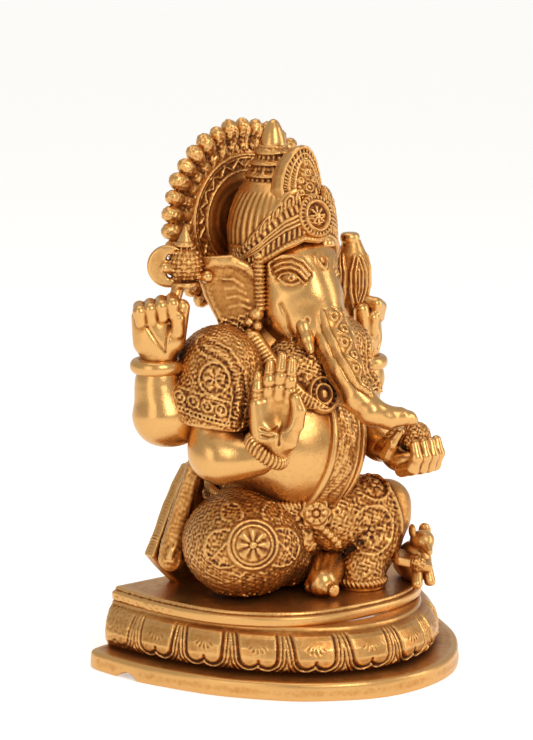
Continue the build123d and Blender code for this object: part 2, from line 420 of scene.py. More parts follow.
def face_frame(normal):
    """Unit vectors outwards, sideways and up for a flat pattern that faces along a normal."""
    out = unit(normal)
    side = unit(np.cross(out, UP))
    return out, side, np.cross(side, out)


# The D-shaped base: half an ellipse whose flat side is the back.
BACK = node_box("base_plate")[1][1]


def d_shape(p, half_width, depth, power=2.0):
    """Distance to a D outline with its flat side on the back plane."""
    x = np.abs(p[:, 0]) / half_width
    y = np.maximum(BACK - p[:, 1], 0) / depth
    k = (x ** power + y ** power) ** (1 / power)
    slope = np.hypot(x ** (power - 1) / half_width, y ** (power - 1) / depth) / np.maximum(k,
        1e-6) ** (power - 1)
    return (k - 1) / np.maximum(slope, 1e-4)


def d_arc(half_width, depth):
    """A function that gives the arc length round the D's curved front from the left-hand end."""
    turn = np.linspace(0, math.pi, 400)
    x, y = half_width * np.cos(turn), depth * np.sin(turn)
    arc = np.concatenate([[0], np.cumsum(np.hypot(np.diff(x), np.diff(y)))])

    def measure(p):
        angle = np.arctan2(np.maximum(BACK - p[:, 1], 0) / depth, p[:, 0] / half_width)
        return np.interp(angle, turn, arc)
    return measure, arc[-1]


def base_plate_field():
    """The flat D-shaped plate: one cut corner, one chip, and open in the middle."""
    low, high = node_box("base_plate")
    half_width, depth, top = high[0], high[1] - low[1], high[2]

    def field(p):
        d = d_shape(p, half_width, depth)
        z = p[:, 2]
        corner = -p[:, 0] * 0.60 + p[:, 1] * 0.80 - (half_width * 0.60 + BACK * 0.80 - 3.5)
        d = smax(d, p[:, 1] - BACK, 3.0)
        d = smax(d, corner, 8.0)
        chip = ball(p, (-half_width * 0.93, BACK - 36, -5.5), 10.0)
        d = smax(d + 0.05 * (z - 5), z - top, 2.6)
        d = smax(d, -z, 1.0)
        d = smax(d, -chip, 1.2)
        inner = d_shape(p, half_width - 18, depth - 32)
        inner = np.maximum(inner, p[:, 1] - (BACK - 9))
        return smax(d + uneven(p, 0.22), -inner, 0.8)
    return field


def lotus_band_field():
    """The bulging band of lotus petals: nested outlines, a heart and a fan of ticks on each."""
    low, high = node_box("lotus_band")
    half_width, depth = high[0], high[1] - low[1]
    foot, top = low[2], high[2]
    measure, total = d_arc(half_width, depth)
    petals = 12
    pitch = total / petals

    def field(p):
        z = p[:, 2] - foot
        s = measure(p)
        u = (s / pitch) % 1.0 - 0.5
        u = u * pitch
        profile = np.interp(z, (-2, 0.0, 2.2, 5.0, 9.5, 14.5, 19.0, 22.5, 26),
                            (-3.5, -3.5, -2.2, -0.4, 0.2, -1.2, -4.2, -8.0, -9.5))
        d = d_shape(p, half_width, depth) - profile
        across = np.abs(u) - 0.10 * np.maximum(z - 9, 0)
        notch = np.clip((10.5 - z) / 5.0, 0, 1)
        across = np.where(across > 5.0, across - 5.0, (across - 5.0) * notch)
        lobe = np.hypot(across, np.minimum(z - 9.2, 0)) - 5.4
        fade = step(total - s, 8, 62) * 0.82 + 0.18
        heart = step(-lobe, -0.2, 1.3) * 1.9
        rims = sum(bump(lobe - offset, 0.8) for offset in (1.7, 3.8, 5.9)) * 1.8
        seam = -1.0 * bump(u, 0.8) * step(10.0 - z, 0, 3.0) * step(-lobe, 0, 0.8)
        gap = np.abs(np.abs(u) - pitch / 2) * 0.9 + np.abs(z - 3.4) * 0.8
        diamond = step(-gap, -2.6, -1.2) * 1.0
        fan = np.hypot(u, z - 18.5)
        ray = np.arctan2(u, 18.5 - z)
        ticks = -0.45 * np.maximum(np.cos(ray * 15), 0) * step(fan, 2.6, 3.4) * step(-fan, -7.0,
            -6.2) * step(16.5 - z, 0, 2)
        relief = (heart + rims + seam + diamond + ticks) * step(z, 0.8, 2.2) * step(22.0 - z, 0, 1.5)
        worn = grain(p, 3.1) * 0.2 * (1 - fade)
        d = d - (relief - 0.7) * fade + worn
        d = smax(d, np.abs(p[:, 0]) * 0.5 + p[:, 1] * 0.87 - (half_width * 0.5 + BACK * 0.87 - 4.5), 5.0)
        d = smax(d, p[:, 1] - (BACK - 0.4), 2.0)
        d = smax(d, np.maximum(-z - 0.4, z - (top - foot) - 0.4), 0.6)
        inner = np.maximum(d_shape(p, half_width - 14, depth - 20), p[:, 1] - (BACK - 9))
        return smax(d + uneven(p, 0.2) * 0.5, -inner, 0.6)
    return field


def seat_slab_field():
    """The slab that the figure sits on, with a lip and faint chevrons round its edge."""
    low, high = node_box("seat_slab")
    half_width, depth = high[0], high[1] - low[1]
    foot, top = low[2], high[2]
    measure, total = d_arc(half_width, depth)

    def field(p):
        z = p[:, 2]
        s = measure(p)
        d = d_shape(p, half_width, depth, 2.5)
        lip = 2.2 * step(z, top - 2.3, top - 1.9)
        groove = 0.7 * bump(z - (top - 2.4), 0.45)
        chevrons = 0.28 * np.maximum(np.cos(s * 2 * math.pi / 2.3), -0.2) * step(-d, -0.1, 0.6) * step(d,
            -3.6, -2.8)
        side = d + lip + groove + grain(p, 5.0) * 0.25 * step(s, total * 0.80, total * 0.9)
        side = smax(side, p[:, 1] - BACK, 2.0)
        flat = smax(z - top + 0.2 - chevrons, foot - z, 0.5)
        return smax(side, flat + uneven(p, 0.15), 1.4)
    return field


# The body.
def torso_field():
    """Belly, chest, hips and shoulders in one casting, rough at the back and low down."""
    centre_x = middle("torso")[0]
    floor = node_box("torso")[0][2]

    def field(p):
        belly = egg(p, BELLY, BELLY_RADII)
        chest = egg(p, (centre_x, 32, 150), (45, 26, 42))
        hips = egg(p, (centre_x, 30, 77), (48, 32, 40))
        back = egg(p, (centre_x, 44, 120), (40, 18, 70))
        shoulders = limb(p, (-40, 33, 166), (40, 33, 166), 21, 21)
        neck = limb(p, (0, 28, 168), (0, 27, 195), 24, 21)
        d = join([belly, chest], 7.0)
        d = join([d, hips, back], 5.0)
        d = join([d, shoulders, neck], 8.0)
        navel = ball(p, (-3, -8.5, 94), 3.2)
        d = smax(d, -navel, 2.5)
        rough = step(p[:, 1], 20, 40) + step(92 - p[:, 2], 0, 8)
        d = d - 0.35 * grain(p, 3.4) * np.clip(rough, 0, 1) + uneven(p, 0.3)
        return smax(d, floor - p[:, 2], 0.5)
    return field


def sash_field():
    """The ornamented strap that runs down the belly, with a raised twin border."""
    def field(p):
        q = p - BELLY
        shell = egg(p, BELLY, BELLY_RADII)
        across = q[:, 0] * 0.93 - q[:, 2] * 0.20 - 2.0
        d_strap = np.maximum(np.abs(shell) - 2.2, np.abs(across) - 10.0)
        pattern = 0.55 * np.cos(across * 0.72) * np.cos(q[:, 2] * 0.40 + 0.6) + 0.35 * grain(p, 2.6)
        edge = 1.3 * bump(np.abs(across) - 8.6, 1.0)
        d = d_strap - (pattern * step(7.5 - np.abs(across), 0, 1.5) + edge) * 0.8
        cord_x = across - 15.5
        cord = np.hypot(cord_x, shell - 0.6) - 2.3 + 0.8 * bump(cord_x, 0.5)
        d = np.maximum(smin(d, cord, 0.6), q[:, 1] + 6)
        return smax(d, -(q[:, 2] + 34), 1.0)
    return field


def knee_medallion(u, v):
    """A round flower in a ring, with two leaf scrolls beside it and a leaf tip below."""
    r, angle = polar(u, v)
    ring = 1.5 * bump(r - 13.2, 0.9) + 0.9 * bump(r - 10.6, 0.6)
    flower = 1.3 * step(9.6 - r, 0, 1.2) * (0.55 + 0.45 * np.cos(angle * 8)) * step(r, 1.8, 3.0)
    heart = 1.6 * step(2.4 - r, 0, 1.0)
    relief = ring + flower + heart
    for sign in (-1, 1):
        su = u * sign
        leaf = np.abs(np.hypot(su - 15.5, v + 2) - 10.5)
        leaf_part = 1.3 * bump(leaf, 0.9) * step(su, 9, 12) * step(r, 14.2, 15.2)
        on_vein = step(9 - np.hypot(su - 19, v + 4), 0, 2)
        vein = bump((su - 19) * 0.75 + (v + 4) * 0.65, 0.7) * on_vein
        tip = 1.2 * bump(np.hypot(su - 11, v - 17) - 5.5, 0.9) * step(v, 12, 14)
        relief = relief + leaf_part + vein + tip
    relief = relief + 1.2 * bump(np.hypot(u, (v + 22) * 0.8) - 7, 0.8) * step(-v, 14, 15.5)
    return relief


def right_leg_field():
    """The folded right leg under punched cloth, with a medallion on the knee and a bare shin."""
    floor = node_box("right_leg")[0][2]
    out, side, rise = face_frame(vec(-0.60, -0.78, 0.17))
    seat = vec(-39.5, 18, 70.5)

    def field(p):
        knee = egg(p, seat, (32.5, 33.5, 29), spin(0, 0, 20))
        shin = limb(p, (-28, 12, 64), (-14, 8, 57), 17, 12)
        thigh = limb(p, (-30, 26, 76), (-44, 16, 72), 25, 26)
        d = join([knee, shin, thigh], 6.0)
        bare = limb(p, (10, 3, 71), (3, -1, 55), 9.5, 8.5)
        q = p - seat
        facing = q @ out
        u, v = q @ (-side), q @ rise
        u, v = u - 4.5, v - 1.0
        r = np.hypot(u, v)
        relief = knee_medallion(u, v) * step(facing, 8, 16)
        smooth = step(17.5 - r, 0, 3) * step(facing, 8, 16)
        d = d - relief * 0.75 - 0.42 * grain(p, 2.9) * (1 - smooth * 0.8)
        hem = 1.0 * bump(p[:, 2] - (floor + 3.5), 1.4) * (0.7 + 0.3 * np.cos(p[:, 0] * 1.9))
        d = smin(d - hem, bare, 1.5)
        return smax(d, floor - p[:, 2], 0.6)
    return field


def foot_field(ankle, toe, size):
    """A bare foot from ankle to toes; the toes spread a little and curl at the tips."""
    ankle, toe = np.asarray(ankle, float), np.asarray(toe, float)
    run = unit(toe - ankle)
    side = unit(np.cross(run, UP))

    def field(p):
        instep = limb(p, ankle, toe - run * 5, size * 1.05, size * 0.86)
        toes = []
        for i in range(5):
            lateral = (i - 2) * size * 0.36
            reach = (2.2, 1.2, 0.4, -0.8, -2.4)[i]
            start = toe + side * lateral * 0.8 - run * 5
            tip = toe + side * lateral + run * reach + vec(0, 0, -size * 0.18)
            toes.append(limb(p, start, tip, size * 0.27, size * (0.29 if i else 0.36)))
        return join([instep, join(toes, 0.4)], 1.8)
    return field


def left_leg_field():
    """The raised left leg under punched cloth, with two flowers, a knee ring and folds."""
    floor = node_box("left_leg")[0][2]

    def field(p):
        thigh = chain(p, [(14, 5, 80, 21), (32, 0, 82, 18.5), (46, -5, 84, 14.0)], 4)
        shin = chain(p, [(44, -7, 77, 14), (34, -9, 64, 13.5), (23, -11, 52, 12), (20.5, -11.5, 45, 12.5)], 4)
        d = smin(thigh, shin, 3.0)
        # Folds of the cloth run from the knee down to the hem.
        arc, _, off = along(p, [(44, -7, 76), (34, -9, 62), (20, -11, 43)])
        turn = np.arctan2(off[:, 2], off[:, 1])
        folds = 0.9 * np.sin(turn * 9 + arc * 0.10) * step(arc, 26, 38)
        d = d - folds * step(0.5 - (thigh - shin), 0, 3)
        relief = 0
        for centre, normal, radius in (((32, -9, 96), (-0.40, -0.60, 0.69), 9.0),
                                       ((24, -17.5, 75), (-0.62, -0.78, 0.0), 12.0)):
            normal, side, up = face_frame(vec(*normal))
            q = p - np.array(centre)
            r = np.hypot(q @ side, (q @ up) * 0.9)
            angle = np.arctan2(q @ up, q @ side)
            near = step(7 - np.abs(q @ normal), 0, 3)
            petals = 1.1 * (0.5 + 0.5 * np.cos(angle * 6)) * step(radius * 0.72 - r, 0, 1.5) * step(r, 1.5, 3)
            relief = relief + (1.5 * bump(r - radius, 1.0) + petals + 1.2 * step(1.8 - r, 0, 1)) * near
        knee_ring = 1.4 * bump(p[:, 0] * 0.9 + (p[:, 2] - 84) * 0.12 - 37.5, 1.1)
        d = d - relief * 0.8 - knee_ring * step(p[:, 2], 68, 72) - 0.42 * grain(p, 2.9,
            1.0) * (1 - 0.9 * step(p[:, 0], 40, 43))
        return smax(d, floor - p[:, 2], 0.5)
    return field


def left_hem_field():
    """The roped hem of the left trouser leg."""
    low, high = node_box("left_hem")
    c = vec(21.0, -12.0, (low[2] + high[2]) / 2)
    r = 15.0

    def field(p):
        q = p - c
        rad, angle = polar(q[:, 0], q[:, 1])
        rope = np.hypot(rad - (r - 2.2), q[:, 2] - 1.2) - (2.1 + 0.4 * np.cos(angle * 34 + q[:, 2] * 1.2))
        plate = smax(rad - (r - 1.2), np.abs(q[:, 2] + 1.8) - 1.3, 0.8)
        cloth = limb(p, (c[0], c[1], c[2]), (c[0] + 6, c[1] + 3, c[2] + 10), r - 4,
                     13) - 0.7 * np.sin(angle * 12)
        return join([rope, plate, cloth], 0.8)
    return field


def line2(u, v, points):
    """Distance in a flat pattern from (u, v) to a line through the points."""
    best = np.full(len(u), 1e9)
    for (ax, ay), (bx, by) in zip(points[:-1], points[1:]):
        rx, ry = bx - ax, by - ay
        t = np.clip(((u - ax) * rx + (v - ay) * ry) / (rx * rx + ry * ry), 0, 1)
        best = np.minimum(best, np.hypot(u - ax - t * rx, v - ay - t * ry))
    return best


def folded(p):
    """Points mirrored onto the figure's right side, for pieces that are the same on both sides."""
    return np.stack([-np.abs(p[:, 0]), p[:, 1], p[:, 2]], 1)


def mirrored(p, sign):
    """The points as they are for sign 1, and mirrored to the other side for sign -1."""
    return p * vec(sign, 1, 1)


def polar(u, v):
    """Radius and angle in a flat pattern."""
    return np.hypot(u, v), np.arctan2(v, u)


def face_relief(q):
    """How far the eye, its wrinkles, the lip and the brow mark stand out of the face."""
    # The eye and its lids and wrinkles, in a flat frame that faces along the cheek.
    w = q - vec(-14.5, 7.5, 216.5)
    u, v = w @ VIEW_SIDE, w[:, 2]
    facing = step(w @ VIEW_OUT, -9, -4)
    socket = -1.8 * bump(np.hypot(u / 1.45, v + 0.4) - 1.0, 4.6)
    eyeball = 1.5 * step(1 - np.hypot(u / 4.8, v / 2.4), 0, 0.6)
    upper = line2(u, v, [(-7.2, -0.6), (-4.8, 1.9), (-1, 2.8), (3.0, 1.8), (5.8, -0.9), (7.8, -2.8)])
    lower = line2(u, v, [(-5.8, -1.2), (-2.5, -3.2), (1.5, -3.4), (4.8, -2.0)])
    fold_1 = line2(u, v, [(-8.6, 3.0), (-4.6, 5.2), (0.2, 5.8), (4.8, 3.9), (8.4, 0.0)])
    fold_2 = line2(u, v, [(-9.2, 6.0), (-4.8, 8.4), (0.6, 9.0), (5.8, 6.6), (9.8, 2.0)])
    fold_3 = line2(u, v, [(-9.0, 9.8), (-4.6, 12.2), (1.0, 12.6), (6.8, 9.6), (11.0, 4.2)])
    pupil = line2(u, v, [(0.4, -0.2), (0.5, -0.4)])
    lids = 1.2 * bump(upper, 0.62) + 0.8 * bump(lower, 0.55)
    folds = 0.8 * bump(fold_1, 0.7) + 0.75 * bump(fold_2, 0.75) + 0.6 * bump(fold_3, 0.85)
    cuts = -0.8 * bump(np.minimum(fold_1, fold_2) - 1.6, 0.5)
    iris = 0.6 * bump(pupil - 1.5, 0.4) - 0.6 * step(1.0 - pupil, 0, 0.5)
    lip = line2(u, v, [(2, -34), (6, -28), (9, -22)])
    relief = (socket + eyeball + lids + folds + cuts + iris - 0.9 * bump(lip, 1.2)) * facing
    crease = line2(u, v, [(-5, -14), (-2, -20), (-1, -27), (2, -33)])
    relief = relief - 0.8 * bump(crease, 1.3) * facing
    # The U-shaped mark on the brow.
    mark = line2(q[:, 0], q[:, 2], [(-3.4, 232), (-3.4, 225.5), (-1.6, 222.6), (0, 221.6)])
    stroke = line2(q[:, 0], q[:, 2], [(0, 230), (0, 225.5)])
    relief = relief + (1.3 * bump(mark, 0.9) + 0.9 * bump(stroke, 0.8)) * step(-q[:, 1], 0, 4)
    return relief


def head_field():
    """Skull, jaw, brow and cheeks, with the face cut into them."""
    base = vec(middle("head")[0], 0, 0)

    def field(p):
        q = folded(p - base)
        skull = egg(q, (0, 27, 212), (25.5, 27, 33))
        jaw = egg(q, (0, 17, 192), (20, 19, 23))
        brow = egg(q, (-6.5, 12, 221), (11, 9, 10))
        cheek = egg(q, (-13.5, 12, 198), (9, 10, 16))
        root = chain(q, [(0, 11, 220, 13.5), (0, 5, 206, 13.5), (0, -3, 192, 11.5)], 6.0)
        muzzle = egg(q, (-8, 1, 186), (8, 9, 12))
        chin = egg(q, (-4, 5, 170), (8, 9, 9))
        d = join([skull, jaw], 10.0)
        d = join([d, brow, cheek, root], 9.0)
        d = join([d, muzzle, chin], 8.0)
        return d - face_relief(q) + uneven(p, 0.25)
    return field


TRUNK_PATH = [
    (0, 8, 204, 13.0), (0, -3, 192, 11.6), (0, -12, 180, 10.6), (0, -21, 167.5, 9.7), (1, -30, 154.5, 8.6),
    (4.5, -38, 146.5, 7.3), (12, -42.5, 143.2, 6.0), (19, -44.5, 143.0, 4.6), (25, -45.6, 141.6, 3.4),
    (29, -46, 139.6, 2.2),
]


def trunk_field():
    """The trunk, curled to the left, with a scroll panel down its front."""
    path = [s[:3] for s in TRUNK_PATH]

    def field(p):
        d = chain(p, TRUNK_PATH, 3.0)
        arc, _, off = along(p, path)
        # A leaf-scroll panel runs down the front of the trunk inside a groove.
        front = off @ unit(vec(0, -0.62, 0.40))
        lateral = off[:, 0]
        half = np.interp(arc, (6, 14, 30, 48, 60, 68), (0.5, 7.2, 7.2, 5.6, 3.6, 0.4))
        inside = half - np.abs(lateral)
        on_front = step(front, 0, 3) * step(arc, 5, 8) * step(-arc, -70, -66)
        sway = 0.48 * half * np.sin(arc * 2 * math.pi / 15.5)
        vine = np.abs(lateral - sway)
        curl_at = (arc % 7.75) - 3.87
        side_sign = np.where(np.sin(arc * 2 * math.pi / 15.5) > 0, -1, 1)
        curl = np.abs(np.hypot(lateral - side_sign * half * 0.30, curl_at) - half * 0.30)
        relief = (1.15 * bump(vine, 0.75) + 1.15 * bump(curl, 0.62)) * step(inside, 0.9, 1.8)
        relief = relief + 1.1 * bump(inside - 0.2, 0.62) - 1.1 * bump(inside + 1.5, 0.6)
        rings = 0.16 * np.sin(arc * 2 * math.pi / 3.1) * step(-arc, -60, -20) * step(0.5 - front / 6, 0, 0.6)
        nostril = ball(p, (29.6, -47.4, 139.4), 1.4)
        d = d - relief * on_front * 0.9 - rings
        return smax(d, -nostril, 0.6)
    return field


def tusk_field(side):
    """A short curved tusk in a ring-shaped socket."""
    def field(p):
        q = mirrored(p, -side)
        whole = chain(q, [(-10.5, 4, 198, 5.0), (-13, -2.2, 190.5, 4.5), (-14.6, -7, 184, 3.6),
                          (-15.2, -10.2, 178.6, 2.3)], 1.5)
        socket = torus(q, (-11.3, 1.6, 195.5), 4.8, 1.2, spin(35, -20, 0))
        return smin(whole, socket, 1.5)
    return field


def ear_field(side):
    """A broad flat ear: a plate with a rolled top rim, sunk fan of creases and a thick outer edge."""
    heading = spin(0, 0, 142)
    rim = [(-2, 206), (6, 221), (16, 227), (30, 225.5), (32, 214), (28.5, 205), (21.5, 192), (14, 182),
           (6, 184)]

    def field(p):
        q = mirrored(p, -side)
        w = (q - vec(-24, 21, 0)) @ heading
        u, v, t = w[:, 0], w[:, 2], w[:, 1]
        edge = polygon(u, v, rim) - 1.5
        t = t + 0.012 * (u - 12) ** 2 - 1.2
        d = smax(edge, np.abs(t) - 2.6, 2.0)
        roll = line2(u, v, [(2, 216), (8, 221.5), (16, 224.5), (26, 224.0), (31, 221)])
        d = smin(d, np.hypot(roll, t * 0.8) - 2.9, 1.5)
        outer = line2(u, v, [(31.5, 218), (28.5, 206), (21.5, 193), (14.5, 184)])
        d = smin(d, np.hypot(outer, t * 0.9) - 2.3, 1.5)
        creases = 0
        for i in range(4):
            start = (6 + i * 1.3, 199 + i * 4.2)
            end = (17 + i * 1.2, 200 + i * 5.0)
            mid = ((start[0] + end[0]) / 2, (start[1] + end[1]) / 2 + 1.8)
            creases = creases + 1.2 * bump(line2(u, v, [start, mid, end]), 0.95)
        ruffle = 0.8 * step(201 - v - 0.25 * u, 0, 5) * grain(p, 3.0) + 0.1 * grain(p, 2.6, 3.0)
        hollow = -2.2 * bump(np.hypot((u - 15) / 1.3, (v - 206) / 1.5) - 3.0, 5.0)
        return d - (creases + ruffle + hollow) * step(np.abs(t), 1.0, 2.0)
    return field


def polygon(u, v, points):
    """Signed distance to a closed outline: negative inside."""
    closed = list(points) + [points[0]]
    d = line2(u, v, closed)
    inside = np.zeros(len(u), bool)
    for (ax, ay), (bx, by) in zip(closed[:-1], closed[1:]):
        crosses = ((ay > v) != (by > v)) & (u < (bx - ax) * (v - ay) / (by - ay + 1e-12) + ax)
        inside ^= crosses
    return np.where(inside, -d, d)


def ear_dress_field(side):
    """The ribbed strip in front of the ear and the clustered drops that hang below it."""
    def field(p):
        q = mirrored(p, -side) - vec(0, 0 if side < 0 else 4, 0)
        arc, dist, _ = along(q, [(-26.5, 19.5, 227), (-27.5, 18.5, 214), (-27, 18, 200)])
        strip = dist - (3.0 + 0.55 * np.cos(arc * 2 * math.pi / 2.3))
        ball_1 = ball(q, (-29, 19, 196), 4.2)
        parts = [strip, ball_1]
        for i in range(9):
            turn = i * 2.4
            reach = 2.0 + 1.0 * (i % 4)
            at = (-30 + reach * math.cos(turn) - i * 0.5, 19 + reach * math.sin(turn) * 0.8, 194 - i * 1.9)
            parts.append(ball(q, at, 2.7))
        return join(parts, 0.7) - 0.25 * grain(p, 2.2)
    return field


# The crown.
def crown_band_height(p):
    """Height above the crown's rim, which rises over the brow and falls behind the ears."""
    turn = np.abs(np.arctan2(p[:, 0], -(p[:, 1] - 30)))
    rim = np.interp(turn, (0, 0.3, 0.68, 1.17, 1.6, 3.2), (235, 236.5, 232, 223.5, 219.5, 219.5))
    return p[:, 2] - rim, turn


def crown_rim_relief(arc, h):
    """The bands of the rim, from the bead row at the bottom to the small arches at the top."""
    ribs = np.cos(arc * 2 * math.pi / 2.7)
    slant = np.cos((arc + h * 0.35) * 2 * math.pi / 2.9)
    bead = np.cos(arc * 2 * math.pi / 1.9)
    relief = 1.7 * bump(h - 1.2, 1.3) + 0.35 * bead * bump(h - 1.2, 1.1)
    relief = relief + (0.5 + 0.75 * ribs) * step(h, 3.2, 3.9) * step(-h, -8.2, -7.5)
    for level, size in ((9.3, 1.35), (11.5, 1.15), (13.6, 1.35)):
        relief = relief + size * bump(h - level, 0.75)
    relief = relief + (0.4 + 0.7 * slant) * step(h, 14.6, 15.2) * step(-h, -19.4, -18.8)
    cell = ((arc / 6.4) % 1.0 - 0.5) * 6.4
    arch = np.hypot(cell, np.maximum(h - 22.6, 0)) - 2.3
    relief = relief + (1.15 * bump(arch, 0.55) + 0.7
                       * bump(np.hypot(cell, np.maximum(h - 22.6, 0)), 0.7)) \
        * step(h, 19.2, 20.0) * step(-h, -27.5, -26.5)
    return relief


def crown_field():
    """The dome of the crown and the banded rim that rises over the brow."""
    c = vec(middle("crown_dome")[0], 33, 240)

    def field(p):
        h, turn = crown_band_height(p)
        spread = np.interp(turn, (0.3, 0.7, 1.0, 1.3, 1.6, 3.2), (1.1, 1.1, 0.95, 0.7, 0.48, 0.4))
        h = h / spread
        signed_turn = np.arctan2(p[:, 0] - c[0], -(p[:, 1] - 30))
        dome = egg(p, c, (27.5, 27.5, 29.5))
        waist = np.interp(p[:, 2], (215, 232, 240, 250, 258, 263, 268),
                          (27.6, 27.8, 27.6, 25.0, 21.4, 18.6, 14.5))
        lift = 35.5 + (p[:, 2] - 240) * 0.11
        lathe = (np.hypot(p[:, 0] - c[0], p[:, 1] - lift) - waist) * 0.93
        d = smin(dome, lathe, 3.0)
        d = smax(d, p[:, 2] - 266.5, 1.5)
        wall = np.interp(p[:, 2], (218, 232, 246, 264), (27.6, 28.2, 27.4, 24.6))
        diadem = np.abs(np.hypot(p[:, 0] - c[0], p[:, 1] - 30.8) - wall) - 1.5
        d = smin(d, smax(diadem, (h - np.interp(turn, (0.25, 0.42), (12, 27.2))) * spread, 1.0), 0.8)
        arc = signed_turn * 27
        relief = crown_rim_relief(arc, h)
        flutes = 0.35 * np.cos(arc * 2 * math.pi / 4.4) * step(h, 27.5, 29) * step(-p[:, 2], -262, -259)
        front = step(turn, 1.0, 1.5)
        relief = relief * (1 - front * step(turn, 1.75, 2.1) * 0.75) + flutes * (0.4 + 0.6 * front)
        under = np.maximum(d, -(h + 0.6) * 0.6)
        return smax(under - relief, -(h + 1.0), 0.8)
    return field


def crown_tiers_field():
    """The stacked, studded rings on top of the dome."""
    centre_y = middle("crown_tiers")[1]

    def field(p):
        q = p - vec(0, centre_y, 0)
        r, angle = polar(q[:, 0], q[:, 1])
        z = p[:, 2]
        profile = np.interp(z, (258, 262, 263.5, 265, 267.5, 268.8, 270, 271.5, 274, 275.2, 276.5, 278, 280,
                                281, 282.5, 284, 285.5),
                            (19, 18.6, 16.6, 15.0, 14.6, 16.0, 14.6, 12.4, 11.8, 13.4, 12.0, 10.0, 9.6,
                             10.6, 10.0, 8.6, 8.2))
        studs = 0.9 * np.maximum(np.cos(angle * 14), 0) * bump(z - 271.8, 1.8)
        studs = studs + 0.5 * np.cos(angle * 26) * bump(z - 266.2, 1.2)
        studs = studs + 0.45 * np.cos(angle * 20) * bump(z - 279, 1.0)
        d = (r - profile - studs) * 0.8
        return smax(smax(d, z - 285.5, 0.8), 257 - z, 0.8) - 0.15 * grain(p, 2.4)
    return field


def crown_finial_field():
    """The plain pointed finial."""
    low, high = node_box("crown_finial")
    centre = (low + high) / 2

    def field(p):
        q = p - vec(centre[0], centre[1], 0)
        r = np.hypot(q[:, 0], q[:, 1])
        z = p[:, 2]
        profile = np.interp(z, low[2] + vec(-2, 0, 1.5, 4, 7, 9.5, 12, 14),
                            (6.6, 7.2, 7.1, 6.5, 5.5, 4.5, 3.2, 2.0))
        whole = smax((r - profile) * 0.85, low[2] - 1.2 - z, 0.6)
        return smax(whole, z - high[2] + 0.3, 2.4)
    return field


PANEL_TILT = 14.0


def panel_frame(p):
    """Across, up and outwards in the crown's leaf-shaped front panel, which leans back."""
    low, high = node_box("crown_panel")
    centre = vec((low[0] + high[0]) / 2, 14.2, 273.8)
    w = local(p, centre, spin(90 - PANEL_TILT))
    return w[:, 0], w[:, 1], w[:, 2]


def crown_panel_field():
    """The leaf-shaped front panel: three borders round a field of small rings."""
    outline = [(0, 13), (4, 12.2), (8, 9.2), (12, 4), (14.5, -2.5), (15.8, -9), (15.4, -15), (13, -22)]
    outline = outline + [(-x, y) for x, y in outline[::-1] if x > 0]

    def field(p):
        u, v, t = panel_frame(p)
        t = t + 0.034 * u * u
        edge = polygon(u, v, outline)
        inner = edge + 7.6
        arc = np.arctan2(u, v + 16) * 24
        relief = 1.5 * bump(edge + 1.3, 1.0) + 1.0 * bump(edge + 7.4, 0.75) + 1.0 * bump(edge + 4.7, 0.6)
        relief = relief + 0.75 * np.maximum(np.cos(arc * 2 * math.pi / 2.3), -0.3) * step(-edge, 2.2,
            2.8) * step(edge, -4.4, -3.8)
        relief = relief + 0.6 * np.maximum(np.cos(arc * 2 * math.pi / 2.0), -0.3) * step(-edge, 5.1,
            5.6) * step(edge, -7.0, -6.6)
        for cx, cy, r in ((0, -10.5, 3.4), (0, -2.5, 2.4), (-4.8, -6.5, 2.0), (4.8, -6.5, 2.0),
                          (-6.0, -13, 2.2), (6.0, -13, 2.2), (0, 3.0, 1.5)):
            rr = np.hypot(u - cx, v - cy)
            ring = 1.2 * bump(rr - r * 0.72, 0.65) + 1.0 * step(r * 0.3 - rr, -0.5, 0.5)
            relief = relief + ring * step(-inner, -0.5, 0.6)
        relief = relief + 0.3 * grain(p, 2.3) * step(-inner, 0, 1)
        front = t - 3.0 - relief * step(t, -1, 1.5)
        back = -3.5 - t
        return smax(smax(edge, front, 1.6), back, 1.0)
    return field


def crown_rosette_field():
    """The round boss below the panel, an eight-petal flower, and the drop under it."""
    def field(p):
        u, v, t = panel_frame(p)
        v = v + 26.5
        t = t - 3.8
        r, angle = polar(u, v)
        plate = smax(r - 11.8, np.abs(t + 1.5) - 3.9, 1.2)
        relief = 1.5 * bump(r - 8.0, 0.9)
        on_edge = step(r, 9.2, 9.7) * step(-r, -11.6, -11.0)
        relief = relief + 0.9 * np.maximum(np.cos(angle * 28), -0.3) * on_edge
        petal = np.abs(np.cos(angle * 4))
        on_petal = step(petal * 5.8 + 0.6 - r, 0, 1.4) * step(r, 1.2, 2.2)
        relief = relief + 1.6 * on_petal * (0.45 + 0.55 * petal)
        relief = relief + 1.9 * step(1.9 - r, -0.4, 0.8) - 0.7 * step(6.8 - r, 0, 0.5)
        drop = ball(p, (0, -7.5, 235.0), 3.4)
        collar = torus(p, (0, -8.2, 234.8), 3.5, 0.8, spin(75))
        return join([plate - relief * step(t, 0, 1.5), drop, collar], 0.8)
    return field


# The halo.
def halo_coordinates(p):
    c = middle("halo_ring")
    return p[:, 0] - c[0], p[:, 2] - c[2], p[:, 1] - c[1]


def halo_ring_field():
    """The raised ring of the halo, with a zigzag between two rims."""
    low, high = node_box("halo_ring")
    outer = (high[0] - low[0]) / 2
    half = (high[1] - low[1]) / 2

    def field(p):
        u, v, t = halo_coordinates(p)
        r, angle = polar(u, v)
        d = smax(smax(r - outer, 26.0 - r, 0.8), np.abs(t) - half + 1.2, 0.8)
        relief = 1.3 * bump(r - 27.2, 0.8) + 1.3 * bump(r - 36.0, 0.8) + 0.8 * bump(r - 34.2, 0.5)
        wave = np.abs(((angle * 31.0 / 9.0) % 1.0) - 0.5) * 2
        zig = (r - (29.2 + wave * 3.9)) * 0.75
        relief = relief + 1.0 * bump(zig, 0.6)
        return d - relief + 0.18 * grain(p, 2.6)
    return field


